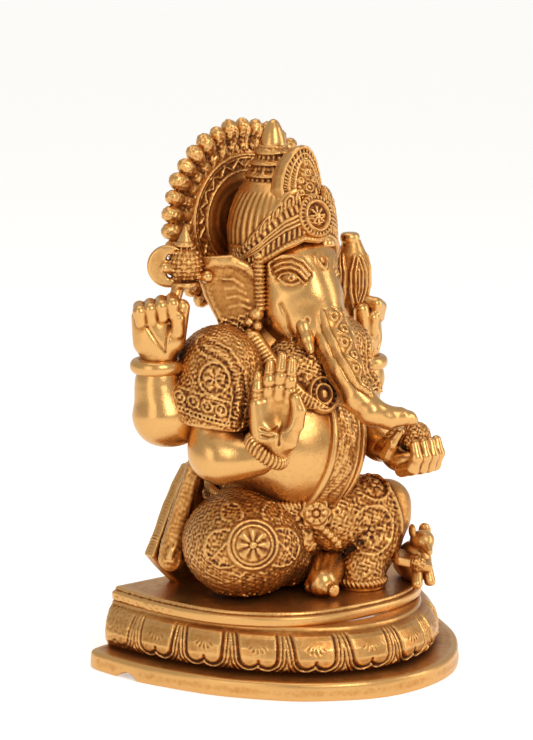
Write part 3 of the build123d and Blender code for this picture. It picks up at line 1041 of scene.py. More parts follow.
def halo_disc_field():
    """The thin round back of the halo."""
    def field(p):
        u, v, t = halo_coordinates(p)
        r = np.hypot(u, v)
        return smax(r - 27.2, np.abs(t) - 1.5, 0.5) + 0.12 * np.sin(r * 1.3)
    return field


def halo_beads_field():
    """The beaded spokes round the ring: a knob, a neck and a collar on each."""
    low, high = node_box("halo_beads")
    outer = (high[0] - low[0]) / 2
    step_angle = math.radians(10.4)

    def field(p):
        u, v, t = halo_coordinates(p)
        r = np.hypot(u, v)
        angle = np.arctan2(u, v)
        number = np.clip(np.round(angle / step_angle), -14, 14)
        off = (angle - number * step_angle)
        a, b = r * np.cos(off), r * np.sin(off)
        uneven_bead = 0.35 * np.sin(number * 2.4)
        knob = (length(np.stack([(a - (outer - 6.5)) / 6.5, b / 4.75, t / 5.0], 1)) - 1) * 4.7 + uneven_bead
        neck = np.maximum(np.hypot(b, t * 0.9) - 2.8, np.abs(a - 42.0) - 3.0) - 0.3
        web = np.maximum(np.abs(t) - 1.4, np.maximum(36.0 - r, r - (outer - 7.5)))
        web = np.maximum(web, (np.abs(angle) - 14.4 * step_angle) * 40)
        collar = (length(np.stack([(a - 40.6) / 3.2, b / 3.6, t / 3.6], 1)) - 1) * 3.2
        ring = np.hypot(r - 37.6, t) - 2.6
        d = join([knob, neck, collar], 0.7)
        d = join([d, ring, web], 0.5)
        return d - 0.28 * grain(p, 2.8, number)
    return field


def halo_stay_field():
    """The bar from the back to the halo."""
    c = middle("halo_stay")

    def field(p):
        return block(p, c, (7, 4.5, 33), 2.5, spin(-8)) + uneven(p, 0.3)
    return field


# Arms, hands and what they hold.
def turned(centre, side, rise, out):
    """A point given by steps sideways, up and out from a centre, in the outward-facing frame."""
    return np.asarray(centre, float) + VIEW_SIDE * side + UP * rise + VIEW_OUT * out


# How much lower the rear hand is held, on the figure's right (-1) and left (1).
REAR_DROP = {-1: 0.0, 1: -14.0}


def rear_arm_field(side):
    """A rear arm, bent up at the elbow and cut off flat above the wrist."""
    drop = REAR_DROP[side]

    def at(x, y, z):
        return (side * x, y, z)

    def field(p):
        elbow_x, low_x, wrist_x = (67, 76, 77.5) if side < 0 else (58, 63, 71)
        upper = limb(p, at(38, 31, 160), at(elbow_x, 40, 142 + drop / 2), 18.5, 16)
        elbow = egg(p, at(low_x - 1.5, 42, 141 + drop), (16.5, 15, 15.5) if side < 0 else (13, 13, 14))
        fore = limb(p, at(low_x, 42, 145 + drop), at(wrist_x, 43.5, 161 + drop), 15.8 if side < 0 else 12.5,
                    11.4)
        wrist = limb(p, at(wrist_x, 43.5, 159 + drop), at(wrist_x, 44, 172 + drop), 11.2, 9.6)
        d = join([upper, elbow, fore, wrist], 6.0)
        return smax(d, p[:, 2] - (176 + drop), 1.0) + uneven(p, 0.35)
    return field


def bangle_field(centre, radius, tube, turn=None, ribs=0):
    """A plain or ribbed bangle across local Z."""
    def field(p):
        q = local(p, centre, turn)
        angle = np.arctan2(q[:, 1], q[:, 0])
        d = np.hypot(np.hypot(q[:, 0], q[:, 1]) - radius, q[:, 2] * 0.82) - tube
        if ribs:
            d = d - 0.45 * np.cos(angle * ribs + q[:, 2] * 0.5)
        return d
    return field


def fist_field(side):
    """A closed hand on a raised wrist: four curled fingers, the heel of the palm and the thumb."""
    drop = REAR_DROP[side]

    def field(p):
        q = mirrored(p, -side) - vec(0 if side < 0 else 6.5, 0, drop)
        heart = vec(-75.5, 43, 191)
        wrist = limb(q, (-77.5, 44, 168), turned(heart, -1, -10, 1), 9.4, 10.5)
        palm = egg(q, turned(heart, -2, -2, 1), (11.5, 10.5, 14.5))
        heel = limb(q, turned(heart, -9.5, -8, 4), turned(heart, -11, 6, 4), 5.5, 5.0)
        mound = limb(q, turned(heart, 7.5, -7, 4), turned(heart, 11.0, 11, 2), 5.6, 4.6)
        d = join([wrist, palm, heel, mound], 4.5)
        fingers = []
        for i, (across, rise) in enumerate(((-11.5, 8.2), (-5.8, 9.6), (0.2, 11.2), (6.0, 12.4))):
            knuckle = turned(heart, across, rise + 3.2, 4.0 - 0.3 * i)
            fold = turned(heart, across + 0.4, rise + 1.5, 9.8)
            tip = turned(heart, across + 1.0, rise - 4.6, 9.6)
            fingers.append(chain(q, [(*knuckle, 3.7), (*fold, 3.6), (*tip, 3.0)], 1.5))
        curled = join(fingers, 0.35)
        thumb = chain(q, [(*turned(heart, 8.8, -2, 8), 3.6), (*turned(heart, 9.0, 6, 8.5), 3.3),
                          (*turned(heart, 5.0, 12, 9.5), 2.8)], 1.5)
        d = smin(d, join([curled, thumb], 0.6), 1.0)
        w = q - heart
        u, v = w @ VIEW_SIDE, w[:, 2]
        creases = np.minimum(line2(u, v, [(-7, 1.5), (-2, -6), (2.5, -12)]),
                             line2(u, v, [(4.5, 2), (3.0, -5), (2.5, -12)]))
        return d + 0.9 * bump(creases, 0.8) * step(w @ VIEW_OUT, 2, 6)
    return field


def axe_head_field():
    """The axe: a cross-cut bulb with a pointed tip on a short shaft."""
    heart = vec(-57.5, 45, 223)

    def field(p):
        q = p - heart
        bulb = egg(p, heart, (9.6, 9.6, 10.8))
        turn = np.arctan2(q[:, 1], q[:, 0]) * 9.0
        climb = q[:, 2] * 1.05
        cuts = np.maximum(np.cos((turn + climb * 1.2) * 1.05),
                          -0.2) * np.maximum(np.cos((turn - climb * 1.2) * 1.05), -0.2)
        bulb = bulb - 1.3 * (cuts - 0.35)
        neck = limb(p, (-69, 43, 199), (-61, 45, 214), 3.6, 3.4)
        foot = disc(p, (-58, 45, 212.5), 8.0, 1.5, 1.2)
        cap = disc(p, (-57.5, 45, 234.2), 5.6, 1.2, 1.0)
        cone = limb(p, (-57.3, 45, 236), (-57.0, 45, 243.5), 4.2, 0.9)
        stub = limb(p, (-60, 46, 222), (-70, 47, 222), 3.2, 3.2)
        return join([bulb, neck, foot, cap, cone, stub], 0.9)
    return field


def axe_blade_field():
    """A crescent with curled horns, standing across the line of sight."""
    heart = turned((-57.5, 45, 222.5), -11.5, 0, 1.0)

    def field(p):
        w = p - heart
        u, v, t = w @ VIEW_SIDE, w[:, 2], w @ VIEW_OUT
        r = np.hypot(u - 2.5, v)
        moon = np.maximum(r - 11.6, 6.9 - np.hypot(u - 7.5, v * 0.80))
        moon = smin(moon, np.maximum(np.abs(v) - 3.4, np.abs(u - 4) - 6), 1.5)
        for sign in (-1, 1):
            moon = np.minimum(moon, np.hypot(u - 3.8, v - sign * 8.8) - 2.6)
        thick = 2.9 - 0.10 * np.maximum(-u, 0)
        return smax(moon, np.abs(t) - thick, 1.6)
    return field


def axe_knob_field():
    """The small ball on the side of the axe away from its blade."""
    def field(p):
        return smin(ball(p, turned((-57.5, 45, 216.5), 12.0, 0, 1), 3.6),
                    limb(p, turned((-57.5, 45, 217), 5, 0, 0), turned((-57.5, 45, 217), 10, 0, 1), 2.4,
                         2.2), 1.0)
    return field


def bud_field():
    """The closed lotus bud, with five nested petals."""
    c = middle("lotus_bud")

    def field(p):
        q = p - vec(c[0], c[1], 206)
        z = q[:, 2]
        r, angle = polar(q[:, 0], q[:, 1])
        profile = np.interp(z, (-23, -20, -14, -4, 6, 14, 20, 23), (2.5, 4.5, 8.5, 10.6, 10.3, 8.2, 5.5, 4.5))
        petal = (angle * 5 / (2 * math.pi)) % 1.0 - 0.5
        width = np.interp(z, (-20, -8, 4, 13, 16), (0.10, 0.36, 0.38, 0.20, 0.02))
        edge = (np.abs(petal) - width) * 12
        ridge = 1.2 * bump(edge, 0.7) + 1.0 * bump(edge + 2.4, 0.6) + 0.8 * bump(edge + 4.4, 0.5)
        d = (r - profile) * 0.9 - ridge * step(z, -19, -15) * step(-z, -15, -12)
        return smax(smax(d, z - 22, 1.5), -23 - z, 1.0)
    return field


def bud_knob_field():
    """The rounded knob on top of the bud."""
    c = middle("bud_knob")

    def field(p):
        q = p - vec(c[0], c[1], 0)
        knob = smax(np.hypot(q[:, 0], q[:, 1]) - 5.6, np.abs(p[:, 2] - 228.6) - 3.2, 3.0)
        waist = limb(p, (c[0], c[1], 219), (c[0], c[1], 227), 5.4, 4.6)
        return smin(knob, waist, 0.8)
    return field


def right_front_arm_field():
    """The right front arm, with a heavy elbow."""
    def field(p):
        upper = limb(p, (-50, 24, 157), (-60, 17, 128), 16, 14)
        elbow = egg(p, (-61.5, 14, 122), (14, 14.5, 12.5))
        fore = limb(p, (-59, 10, 121), (-48, -5, 123.5), 13.4, 10.2)
        return join([upper, elbow, fore], 6.0) + uneven(p, 0.3)
    return field


def blessing_hand_field():
    """The raised right hand: palm and four straight fingers held together, the thumb beside them."""
    heart = vec(-42, -13, 146)

    def field(p):
        wrist = limb(p, turned(heart, -1.5, -20, -2), turned(heart, -1, -10, -1), 8.6, 9.5)
        w = p - heart
        u, v, t = w @ VIEW_SIDE, w[:, 2], w @ VIEW_OUT
        palm = egg(np.stack([u, v, t], 1), (-0.5, -1.5, -1), (13.8, 16.5, 6.4))
        heel = limb(p, turned(heart, -8.5, -12, 2.2), turned(heart, -10.5, 7, 1.6), 4.8, 3.8)
        ball_of_thumb = limb(p, turned(heart, 6.0, -13, 2.4), turned(heart, 10.5, 1, 2.4), 5.8, 4.6)
        d = join([wrist, palm, heel, ball_of_thumb], 3.5)
        hollow = egg(np.stack([u, v, t], 1), (1.8, 4.0, 7.0), (6.8, 10.5, 5.6))
        d = smax(d, -hollow, 3.0)
        for across, low, top, lean, size in ((-10.0, 7, 22.5, 0.5, 3.3), (-4.4, 10, 29.0, 1.6, 3.5),
                                             (1.4, 11, 32.5, 2.0, 3.6), (7.0, 9, 30.0, 1.4, 3.5)):
            finger = chain(p, [(*turned(heart, across, low, -0.6), size + 0.2),
                               (*turned(heart, across + lean * 0.5, (low + top) / 2, 0.4), size),
                               (*turned(heart, across + lean, top, -0.8), size - 1.1)], 1.0)
            joint = bump(v - low - 6.5, 0.7) + bump(v - low - 13.5, 0.7)
            finger = finger + 0.55 * joint * step(t, 0.5, 2.0)
            d = smin(d, finger, 0.7)
        thumb = chain(p, [(*turned(heart, 10.8, -4, 3.0), 4.4), (*turned(heart, 12.2, 4, 3.4), 3.9),
                          (*turned(heart, 10.6, 10.5, 3.8), 3.2)], 1.5)
        d = smin(d, thumb, 0.9)
        # Lines of the palm.
        lines = line2(u, v, [(1.5, -14), (2.0, -7), (4.5, 1)])
        lines = np.minimum(lines, line2(u, v, [(-8, -5.5), (-4, -7), (0.5, -5)]))
        lines = np.minimum(lines, line2(u, v, [(-7.5, -9), (-4, -10), (-1, -9)]))
        return d + 0.8 * bump(lines, 0.7) * step(t, 1.5, 4.0)
    return field


def left_front_arm_field():
    """The left front arm, with a cuff above the wrist."""
    def field(p):
        upper = limb(p, (37, 28, 157), (42.5, 13.5, 129), 14.0, 13.2)
        fore = chain(p, [(43.5, 10, 125, 13.0), (44, -4, 120.5, 11.6), (43.5, -16, 118.5, 9.0)], 4.0)
        cuff = torus(p, (44, 0, 122), 12.4, 1.6, spin(70, 0, -4))
        return join([smin(upper, fore, 6.0), cuff], 0.8) + uneven(p, 0.25)
    return field


def left_front_hand_field():
    """A cupped hand, its four fingers curled up round the sweet, the thumb behind it."""
    def field(p):
        wrist = limb(p, (40.5, -10.8, 118), (39.8, -20.8, 117), 8.2, 9.6)
        palm = egg(p, (39.5, -29.8, 114.5), (12.0, 14.0, 8.2))
        hollow = ball(p, (39.5, -33.8, 128), 9.2)
        d = smax(smin(wrist, palm, 4.0), -hollow, 1.0)
        fingers = []
        for i, pull in enumerate((0.8, 0.0, 0.2, 1.6)):
            x = 30.7 + i * 5.7
            fingers.append(chain(p, [(x, -34.8 + pull, 110, 3.9), (x, -43.3 + pull, 112.5, 3.7),
                                     (x, -46.6 + pull, 119, 3.4), (x + 0.3, -44.4 + pull, 126, 2.8)], 1.4))
        thumb = chain(p, [(28, -24.8, 118, 4.2), (28, -29.8, 125, 3.6), (30.5, -32.8, 131, 2.9)], 1.5)
        return smin(d, join(fingers + [thumb], 0.35), 1.0)
    return field


def sweet_field(centre, radius):
    """A round sweet with a grainy skin."""
    def field(p):
        return ball(p, centre, radius) - 0.5 * grain(p, 2.5)
    return field


# Dress and ornaments.
def cape_field(side):
    """The jewelled cloth over the shoulder: bands of scrolls, a punched field and a ribbed edge."""
    def field(p):
        q = mirrored(p, -side)
        if side < 0:
            body = egg(q, (-47, 28, 166), (24, 24.5, 25))
            arm = limb(q, (-42, 28, 165), (-63, 34, 149), 20.5, 17.5)
            sleeve = limb(q, (-50, 25, 160), (-58.5, 19, 142), 19.8, 18.2)
            d = join([body, arm, sleeve], 5.0)
        else:
            body = egg(q, (-39, 30, 166), (19, 20, 22))
            sleeve = limb(q, (-38, 30, 162), (-42, 20, 146), 16.5, 15.5)
            d = join([body, sleeve], 5.0)
        heart = vec(-54, 24, 166)
        w = q - heart
        u, v = w @ VIEW_SIDE, w[:, 2]
        r = np.hypot(u, v * 0.95)
        angle = np.arctan2(v, u)
        relief = 1.1 * bump(r - 8.2, 0.8) + 0.9 * step(6.6 - r, 0, 1) * (0.5 + 0.5 * np.cos(angle * 6))
        level = w[:, 2] + 0.25 * u
        row = ((u / 7.6) % 1.0 - 0.5) * 7.6
        curl = np.hypot(row, level + 15.0)
        scroll = 1.3 * bump(curl - 2.7, 0.75) + 1.1 * step(1.2 - curl, -0.4, 0.5)
        relief = relief + scroll * step(level, -19.4, -18.6) * step(-level, 10.8, 11.6)
        for line in (-10.3, -20.2, -22.4):
            relief = relief + 1.0 * bump(level - line, 0.75)
        beads = np.cos(u * 2 * math.pi / 2.2)
        relief = relief + 0.5 * beads * bump(level + 21.3, 0.9)
        edge = line2(u, v, [(-6, 17), (6, 12), (12.5, 2), (14, -10), (12, -24)])
        along_edge = np.cos(v * 2 * math.pi / 2.1)
        relief = relief + (1.6 + 0.45 * along_edge) * bump(edge, 1.6) + 1.0 * bump(edge - 4.2, 0.8)
        relief = relief * step(w @ VIEW_OUT, -6, 2)
        d = d - relief * 0.85 - 0.40 * grain(p, 2.6, 2.0)
        hem = 136.5 - q[:, 2] + (q[:, 0] + 54) * -0.18
        return smax(d, hem, 1.5)
    return field


def necklace_field():
    """A broad collar hung from the shoulders, with a ribbed border and a row of drops."""
    path = [(-33, 18, 184), (-27, 5, 167), (-19, -6, 153), (-8, -13.5, 144), (4, -16, 141), (18, -9, 147),
            (28, 3, 160), (34, 16, 180)]

    def field(p):
        arc, dist, off = along(p, path)
        d = dist - 4.4
        rib = 0.6 * np.cos(arc * 2 * math.pi / 2.2)
        ridge = 1.3 * bump(off[:, 2] + 3.6, 0.8) + 1.1 * bump(off[:, 2] - 3.4, 0.8)
        relief = (0.5 + rib) * bump(off[:, 2], 2.1) + ridge
        bib = egg(p, (0, 14, 163), (29, 26, 25))
        rays = np.cos(np.arctan2(p[:, 0], 30 - (p[:, 2] - 150)) * 26)
        ray_row = bump(p[:, 2] - 158 - 0.02 * p[:, 0] ** 2, 2.0)
        bib = bib - 0.5 * grain(p, 2.5, 4.0) - 0.6 * rays * ray_row
        bib = np.maximum(bib, p[:, 1] - 24)
        drops = ((arc / 4.4) % 1.0 - 0.5) * 4.4
        row = np.hypot(drops, off[:, 2] + 6.4) - 1.9
        row = np.maximum(row, dist - 9.0)
        d = smin(d - relief * 0.8, bib, 1.5)
        return smin(d, np.maximum(row, np.abs(egg(p, BELLY, BELLY_RADII + 1)) - 1.6), 0.8)
    return field


def pendant_field():
    """The round pendant of the collar: two rings and a boss."""
    c = vec(-7, -10.5, 153.5)
    normal, side, rise = face_frame(vec(-0.35, -0.86, 0.28))

    def field(p):
        w = p - c
        u, v, t = -(w @ side), w @ rise, w @ normal
        r = np.hypot(u, v * 0.85)
        plate = smax(r - 9.4, np.abs(t) - 3.6, 2.0)
        relief = 1.5 * bump(r - 7.8, 0.9) + 1.2 * bump(r - 4.6, 0.8) + 1.8 * step(2.3 - r, -0.4, 1.0)
        relief = relief + 0.35 * np.cos(np.arctan2(v, u) * 14) * bump(r - 6.2, 0.8)
        return plate - relief * step(t, 0, 2.5)
    return field


def belt_field():
    """A girdle under the belly: a rope border above a row of studs and a punched band."""
    def field(p):
        q = p - vec(0, 29, 0)
        turn = np.arctan2(q[:, 0], -q[:, 1] * 1.4)
        level = p[:, 2] - (92.0 - 6.0 * np.cos(turn))
        oval = np.hypot(q[:, 0], q[:, 1] * 1.4)
        slope = np.hypot(q[:, 0], q[:, 1] * 1.96) / np.maximum(oval, 1)
        radius = 47.0
        r = radius + (oval - radius - 0.5) / slope
        arc = turn * 45
        rope = np.hypot(r - radius, level - 5.4) - (2.2 + 0.4 * np.cos(arc * 2 * math.pi / 2.3 + level))
        band = smax(np.abs(r - radius + 0.5) - 2.6, np.abs(level + 0.6) - 5.6, 1.2)
        studs = np.hypot(((arc / 5.0) % 1.0 - 0.5) * 5.0, level + 1.2)
        band = band - 1.3 * step(1.9 - studs, -0.5, 0.8) - 0.45 * grain(p, 2.4, 5.0)
        lower = np.hypot(r - radius, level + 6.6) - (1.7 + 0.3 * np.cos(arc * 2 * math.pi / 2.0))
        return join([rope, band, lower], 0.6)
    return field


def clasp_field():
    """The flower clasp of the belt and the bead chain that hangs from it."""
    c = vec(-9.5, -7.0, 87.5)
    normal, side, rise = face_frame(vec(-0.40, -0.90, 0.10))

    def field(p):
        w = p - c
        u, v, t = -(w @ side), w @ rise, w @ normal
        r, angle = polar(u, v)
        plate = smax(r - 8.6 - 0.7 * np.cos(angle * 8), np.abs(t) - 3.5, 1.5)
        relief = 1.6 * step(r, 2.2, 3.2) * step(7.2 - r, 0, 1.4) * (0.4 + 0.6 * np.abs(np.cos(angle * 4)))
        relief = relief + 1.6 * step(2.0 - r, -0.4, 0.8)
        arc, dist, _ = along(p, [(-10, -9, 82), (-4, -12, 76), (2, -13, 70), (4, -13.5, 62),
                                   (2.5, -13, 56)])
        chain_of_beads = dist - 1.9 - 0.8 * np.abs(np.cos(arc * math.pi / 3.6))
        return join([plate - relief * step(t, 0, 2), chain_of_beads], 0.8)
    return field


def shawl_tail_field(side):
    """The stiff end of the shawl behind the hip: a bent plate with a hatched edge."""
    outline = [(28, 108), (44, 108), (52, 98), (71, 60), (64, 52), (48, 37), (20, 37), (20, 108)]

    def field(p):
        q = mirrored(p, side)
        w = q[:, 1] - 62.5
        edge = polygon(q[:, 0], q[:, 2], outline)
        d = smax(edge, np.abs(w) - 4.2, 1.4)
        arc = line2(q[:, 0], q[:, 2], [(45, 107), (68, 60)])
        hatch = 0.5 * np.maximum(np.cos((q[:, 2] - q[:, 0] * 0.45) * 2 * math.pi / 2.0), -0.2)
        d = d - hatch * step(7.5 - arc, 0, 1) * step(arc, 2.0, 3.0) * step(q[:, 2], 60, 64)
        return smax(d, 41.5 - q[:, 2], 0.5) + uneven(p, 0.3)
    return field


def scarf_field(side):
    """The hanging end of the scarf, with folds and a curled tip."""
    def field(p):
        q = mirrored(p, side)
        path = [(50, 44, 118), (55, 44, 104), (60, 47, 84), (65, 48, 66), (66, 48, 60)]
        arc, dist, off = along(q, path)
        width = np.interp(arc, (0, 20, 50, 62), (4.0, 5.4, 7.0, 7.6))
        lateral = off @ vec(0.72, -0.69, 0.05)
        folds = 1.0 * np.abs(np.sin(lateral * 0.75 + 0.3)) * step(arc, 10, 25)
        curl = torus(q, (65.5, 44, 63), 4.2, 2.1, spin(90, 0, 0))
        return smin(dist - width + folds, curl, 1.0) - 0.2 * grain(p, 3.0)
    return field


# The mouse's shapes are laid out beside the hem and then moved in to its knee by these steps.
MOUSE_BODY_MOVE = vec(-15, -8, 3.5)
MOUSE_HEAD_MOVE = vec(-13, -6, 3.5)


def mouse_body_field():
    """The seated mouse: rump, back, a ledge for its sweet, two legs and a raised tail."""
    def field(p):
        p = p - MOUSE_BODY_MOVE
        seat = egg(p, (67, -14, 49.5), (8.6, 11.5, 12.0))
        back = egg(p, (71, -6, 47), (8, 11, 9.5))
        ledge = block(p, (60, -20, 52.5), (11.0, 7.5, 2.6), 1.6, spin(12, 16, -30))
        leg_1 = limb(p, (60, -24, 46), (57, -27, 40.5), 3.0, 3.2)
        leg_2 = limb(p, (68, -24, 46), (67, -27, 40.5), 3.2, 3.2)
        tail = chain(p, [(75, -2, 46, 2.6), (79, -5, 52, 2.4), (80, -9, 60, 2.2), (78, -12, 66, 1.9)], 1.0)
        d = join([seat, back], 3.0)
        d = join([d, leg_1, leg_2, tail], 1.0)
        d = smin(d, ledge, 0.8)
        return smax(d, 38.2 - p[:, 2], 0.4) + uneven(p, 0.25)
    return field


def mouse_head_field():
    """The mouse's head, turned up to the figure, with two upright ears."""
    def field(p):
        p = p - MOUSE_HEAD_MOVE
        skull = egg(p, (65, -22, 62.5), (6.4, 7.8, 6.0), spin(-20))
        snout = limb(p, (64, -26, 61.5), (60.5, -33, 58.5), 4.2, 1.9)
        ear_1 = egg(p, (70.5, -18.5, 67), (1.8, 3.6, 4.2), spin(0, 0, 30))
        ear_2 = egg(p, (60.5, -19, 68), (1.8, 3.6, 4.2), spin(0, 0, -20))
        eye = ball(p, (60.2, -26, 63.6), 1.1)
        return join([smin(skull, snout, 2.5), ear_1, ear_2, eye], 0.8) + uneven(p, 0.15)
    return field


# Brass: polished gold on the high places, brown tarnish in the recesses, and painted shade darkening surfaces
# that other pieces hem in.
def node_of(tree, kind, **values):
    made = tree.nodes.new(kind)
    for key, value in values.items():
        if hasattr(made, key):
            setattr(made, key, value)
        else:
            made.inputs[key].default_value = value
    return made


def math_node(tree, operation, a, b=None, clamp=False):
    made = tree.nodes.new("ShaderNodeMath")
    made.operation = operation
    made.use_clamp = clamp
    for i, value in enumerate((a, b)):
        if value is None:
            continue
        if isinstance(value, (int, float)):
            made.inputs[i].default_value = value
        else:
            tree.links.new(value, made.inputs[i])
    return made.outputs[0]


def noise(tree, where, scale, detail=3.0, rough=0.55):
    made = node_of(tree, "ShaderNodeTexNoise")
    made.inputs["Scale"].default_value = scale
    made.inputs["Detail"].default_value = detail
    made.inputs["Roughness"].default_value = rough
    tree.links.new(where, made.inputs["Vector"])
    return made.outputs["Fac"]


def ramp(tree, factor, stops):
    made = tree.nodes.new("ShaderNodeValToRGB")
    elements = made.color_ramp.elements
    while len(elements) < len(stops):
        elements.new(0.5)
    for element, (place, colour) in zip(elements, stops):
        element.position = place
        element.color = (*colour, 1.0) if len(colour) == 3 else colour
    tree.links.new(factor, made.inputs["Fac"])
    return made.outputs["Color"]


def brass(name, tarnish, shine, pits):
    """Old brass: bright where it stands out, brown and dull in recesses, darker still with painted shade
    where other pieces hem it in, with pits and specks.
    """
    material = bpy.data.materials.new(name)
    material.use_nodes = True
    tree = material.node_tree
    shader = tree.nodes["Principled BSDF"]
    where = tree.nodes.new("ShaderNodeTexCoord").outputs["Object"]

    def attribute(label):
        return node_of(tree, "ShaderNodeAttribute", attribute_name=label).outputs["Fac"]

    def times(a, b):
        return math_node(tree, "MULTIPLY", a, b)

    def plus(a, b):
        return math_node(tree, "ADD", a, b)

    def minus(a, b):
        return math_node(tree, "SUBTRACT", a, b)

    blotch = noise(tree, where, 42.0, 4.0)
    speck = noise(tree, where, 420.0, 3.0, 0.65)
    fine = times(attribute("fine"), 2.1)
    broad = times(attribute("broad"), 0.62)
    # Painted shade: darker where neighbouring pieces hem the surface in (ambient occlusion).
    painted_shade = times(minus(attribute("painted_shade"), 0.34), 1.35)
    painted_shade = math_node(tree, "MAXIMUM", painted_shade, 0.0)
    depth = plus(plus(fine, broad), painted_shade)
    depth = plus(depth, times(minus(blotch, 0.5), 0.55))
    depth = plus(depth, times(minus(speck, 0.5), 0.50))
    depth = math_node(tree, "ADD", depth, 0.16 + tarnish, clamp=True)
    # The colour darkens with the patina in recesses and with the painted shade between pieces.
    colour = ramp(tree, depth, (
        (0.0, (0.68, 0.375, 0.13)), (0.24, (0.52, 0.235, 0.062)), (0.48, (0.33, 0.125, 0.027)),
        (0.72, (0.165, 0.05, 0.011)), (1.0, (0.052, 0.016, 0.005))))
    tree.links.new(colour, shader.inputs["Base Color"])
    metal = ramp(tree, depth, ((0.0, (1, 1, 1)), (0.55, (0.92, 0.92, 0.92)), (1.0, (0.5, 0.5, 0.5))))
    tree.links.new(metal, shader.inputs["Metallic"])
    rough_base = ramp(tree, depth, ((0.0, (0.31 / shine,) * 3), (0.4, (0.42 / shine,) * 3),
                                    (1.0, (0.66,) * 3)))
    smear = times(minus(noise(tree, where, 130.0, 4.0), 0.5), 0.22)
    tree.links.new(math_node(tree, "ADD", rough_base, smear, clamp=True), shader.inputs["Roughness"])
    pit = tree.nodes.new("ShaderNodeTexVoronoi")
    pit.inputs["Scale"].default_value = 380.0
    tree.links.new(where, pit.inputs["Vector"])
    hole = ramp(tree, pit.outputs["Distance"], ((0.0, (0, 0, 0)), (0.16, (1, 1, 1))))
    rare = ramp(tree, noise(tree, where, 60.0, 2.0), ((0.56, (1, 1, 1)), (0.66, (0, 0, 0))))
    hole = math_node(tree, "MAXIMUM", hole, rare)
    relief = plus(times(noise(tree, where, 700.0, 4.0, 0.6), 0.5),
                       times(noise(tree, where, 180.0, 3.0), 0.9))
    relief = plus(relief, times(hole, 0.5))
    bumped = tree.nodes.new("ShaderNodeBump")
    bumped.inputs["Strength"].default_value = 0.32 * pits
    bumped.inputs["Distance"].default_value = 0.0006
    tree.links.new(relief, bumped.inputs["Height"])
    tree.links.new(bumped.outputs["Normal"], shader.inputs["Normal"])
    return material


POLISHED = brass("brass_polished", tarnish=-0.08, shine=1.15, pits=0.7)
WORKED = brass("brass_worked", tarnish=0.04, shine=1.0, pits=1.0)
AGED = brass("brass_aged", tarnish=0.15, shine=0.92, pits=1.2)
PLAIN = brass("brass_plain", tarnish=0.0, shine=0.95, pits=0.8)

# The pieces: name, CAD nodes, field, cell size and margin round the nodes, and brass.
make("base_plate_casting", ["base_plate"], base_plate_field(), 0.9, 3, PLAIN)
make("lotus_petals", ["lotus_band"], lotus_band_field(), 0.58, 3, WORKED)
make("seat_slab_casting", ["seat_slab"], seat_slab_field(), 0.75, 3, PLAIN)
make("belly_and_back", ["torso"], torso_field(), 0.85, 4, POLISHED)
make("belly_strap", ["belly_sash"], sash_field(), 0.62, 6, WORKED)
make("folded_right_leg", ["right_leg"], right_leg_field(), 0.66, 4, AGED)
make("right_foot_cast", ["right_foot"], foot_field((6, -1, 53), (-13, -17, 49.0), 9.9), 0.6, 5, POLISHED)
make("raised_left_leg", ["left_leg"], left_leg_field(), 0.66, 5, AGED)
make("trouser_hem", ["left_hem"], left_hem_field(), 0.6, 6, AGED)
make("elephant_head", ["head"], head_field(), 0.6, 6, POLISHED)
make("trunk_cast", ["trunk"], trunk_field(), 0.55, 5, POLISHED)
for side, name in ((-1, "right"), (1, "left")):
    make(name + "_tusk_cast", [name + "_tusk"], tusk_field(side), 0.5, 5, POLISHED)
    make(name + "_ear_cast", [name + "_ear"], ear_field(side), 0.6, 5, AGED)
    ear_low, ear_high = span([name + "_ear"], 10)
    make(name + "_ear_drops", [], ear_dress_field(side), 0.6, 0, AGED,
         region=(ear_low - vec(0, 0, 16), ear_high))
make("crown_dome_cast", ["crown_dome", "crown_rim"], crown_field(), 0.6, 5, WORKED)
make("crown_tiers_cast", ["crown_tiers"], crown_tiers_field(), 0.5, 6, AGED)
make("crown_finial_cast", ["crown_finial"], crown_finial_field(), 0.5, 4, POLISHED)
make("crown_leaf_cast", ["crown_panel"], crown_panel_field(), 0.5, 7, WORKED)
make("crown_rosette_cast", ["crown_rosette"], crown_rosette_field(), 0.5, 9, WORKED)
make("halo_ring_cast", ["halo_ring"], halo_ring_field(), 0.55, 3, WORKED)
make("halo_disc_cast", ["halo_disc"], halo_disc_field(), 0.8, 3, AGED)
make("halo_beads_cast", ["halo_beads"], halo_beads_field(), 0.6, 4, WORKED)
make("halo_stay_cast", ["halo_stay"], halo_stay_field(), 0.9, 4, AGED)
for side, name in ((-1, "right"), (1, "left")):
    make(name + "_rear_arm_cast", [name + "_rear_arm"], rear_arm_field(side), 0.8, 8, POLISHED)
    make(name + "_rear_bangle_cast", [name + "_rear_bangle"],
         bangle_field((-77.5 if side < 0 else 71, 44, 170 + REAR_DROP[side]), 11.8, 3.3), 0.55, 4, POLISHED)
    make(name + "_rear_fist", [name + "_rear_hand"], fist_field(side), 0.55, 7, POLISHED)
    make(name + "_cape", [name + "_shoulder_cape"], cape_field(side), 0.62, 9, AGED)
    make(name + "_shawl_plate", [name + "_shawl_tail"], shawl_tail_field(side), 0.75, 6, PLAIN)
    make(name + "_scarf", [name + "_scarf_end"], scarf_field(side), 0.65, 7, AGED)
make("axe_bulb", ["axe_head"], axe_head_field(), 0.5, 6, WORKED)
make("axe_crescent", ["axe_blade"], axe_blade_field(), 0.5, 9, POLISHED)
make("axe_side_ball", ["axe_knob"], axe_knob_field(), 0.5, 7, POLISHED)
make("lotus_bud_cast", ["lotus_bud"], bud_field(), 0.55, 5, WORKED)
make("bud_knob_cast", ["bud_knob"], bud_knob_field(), 0.55, 8, POLISHED)
make("right_front_arm_cast", ["right_front_arm"], right_front_arm_field(), 0.8, 6, POLISHED)
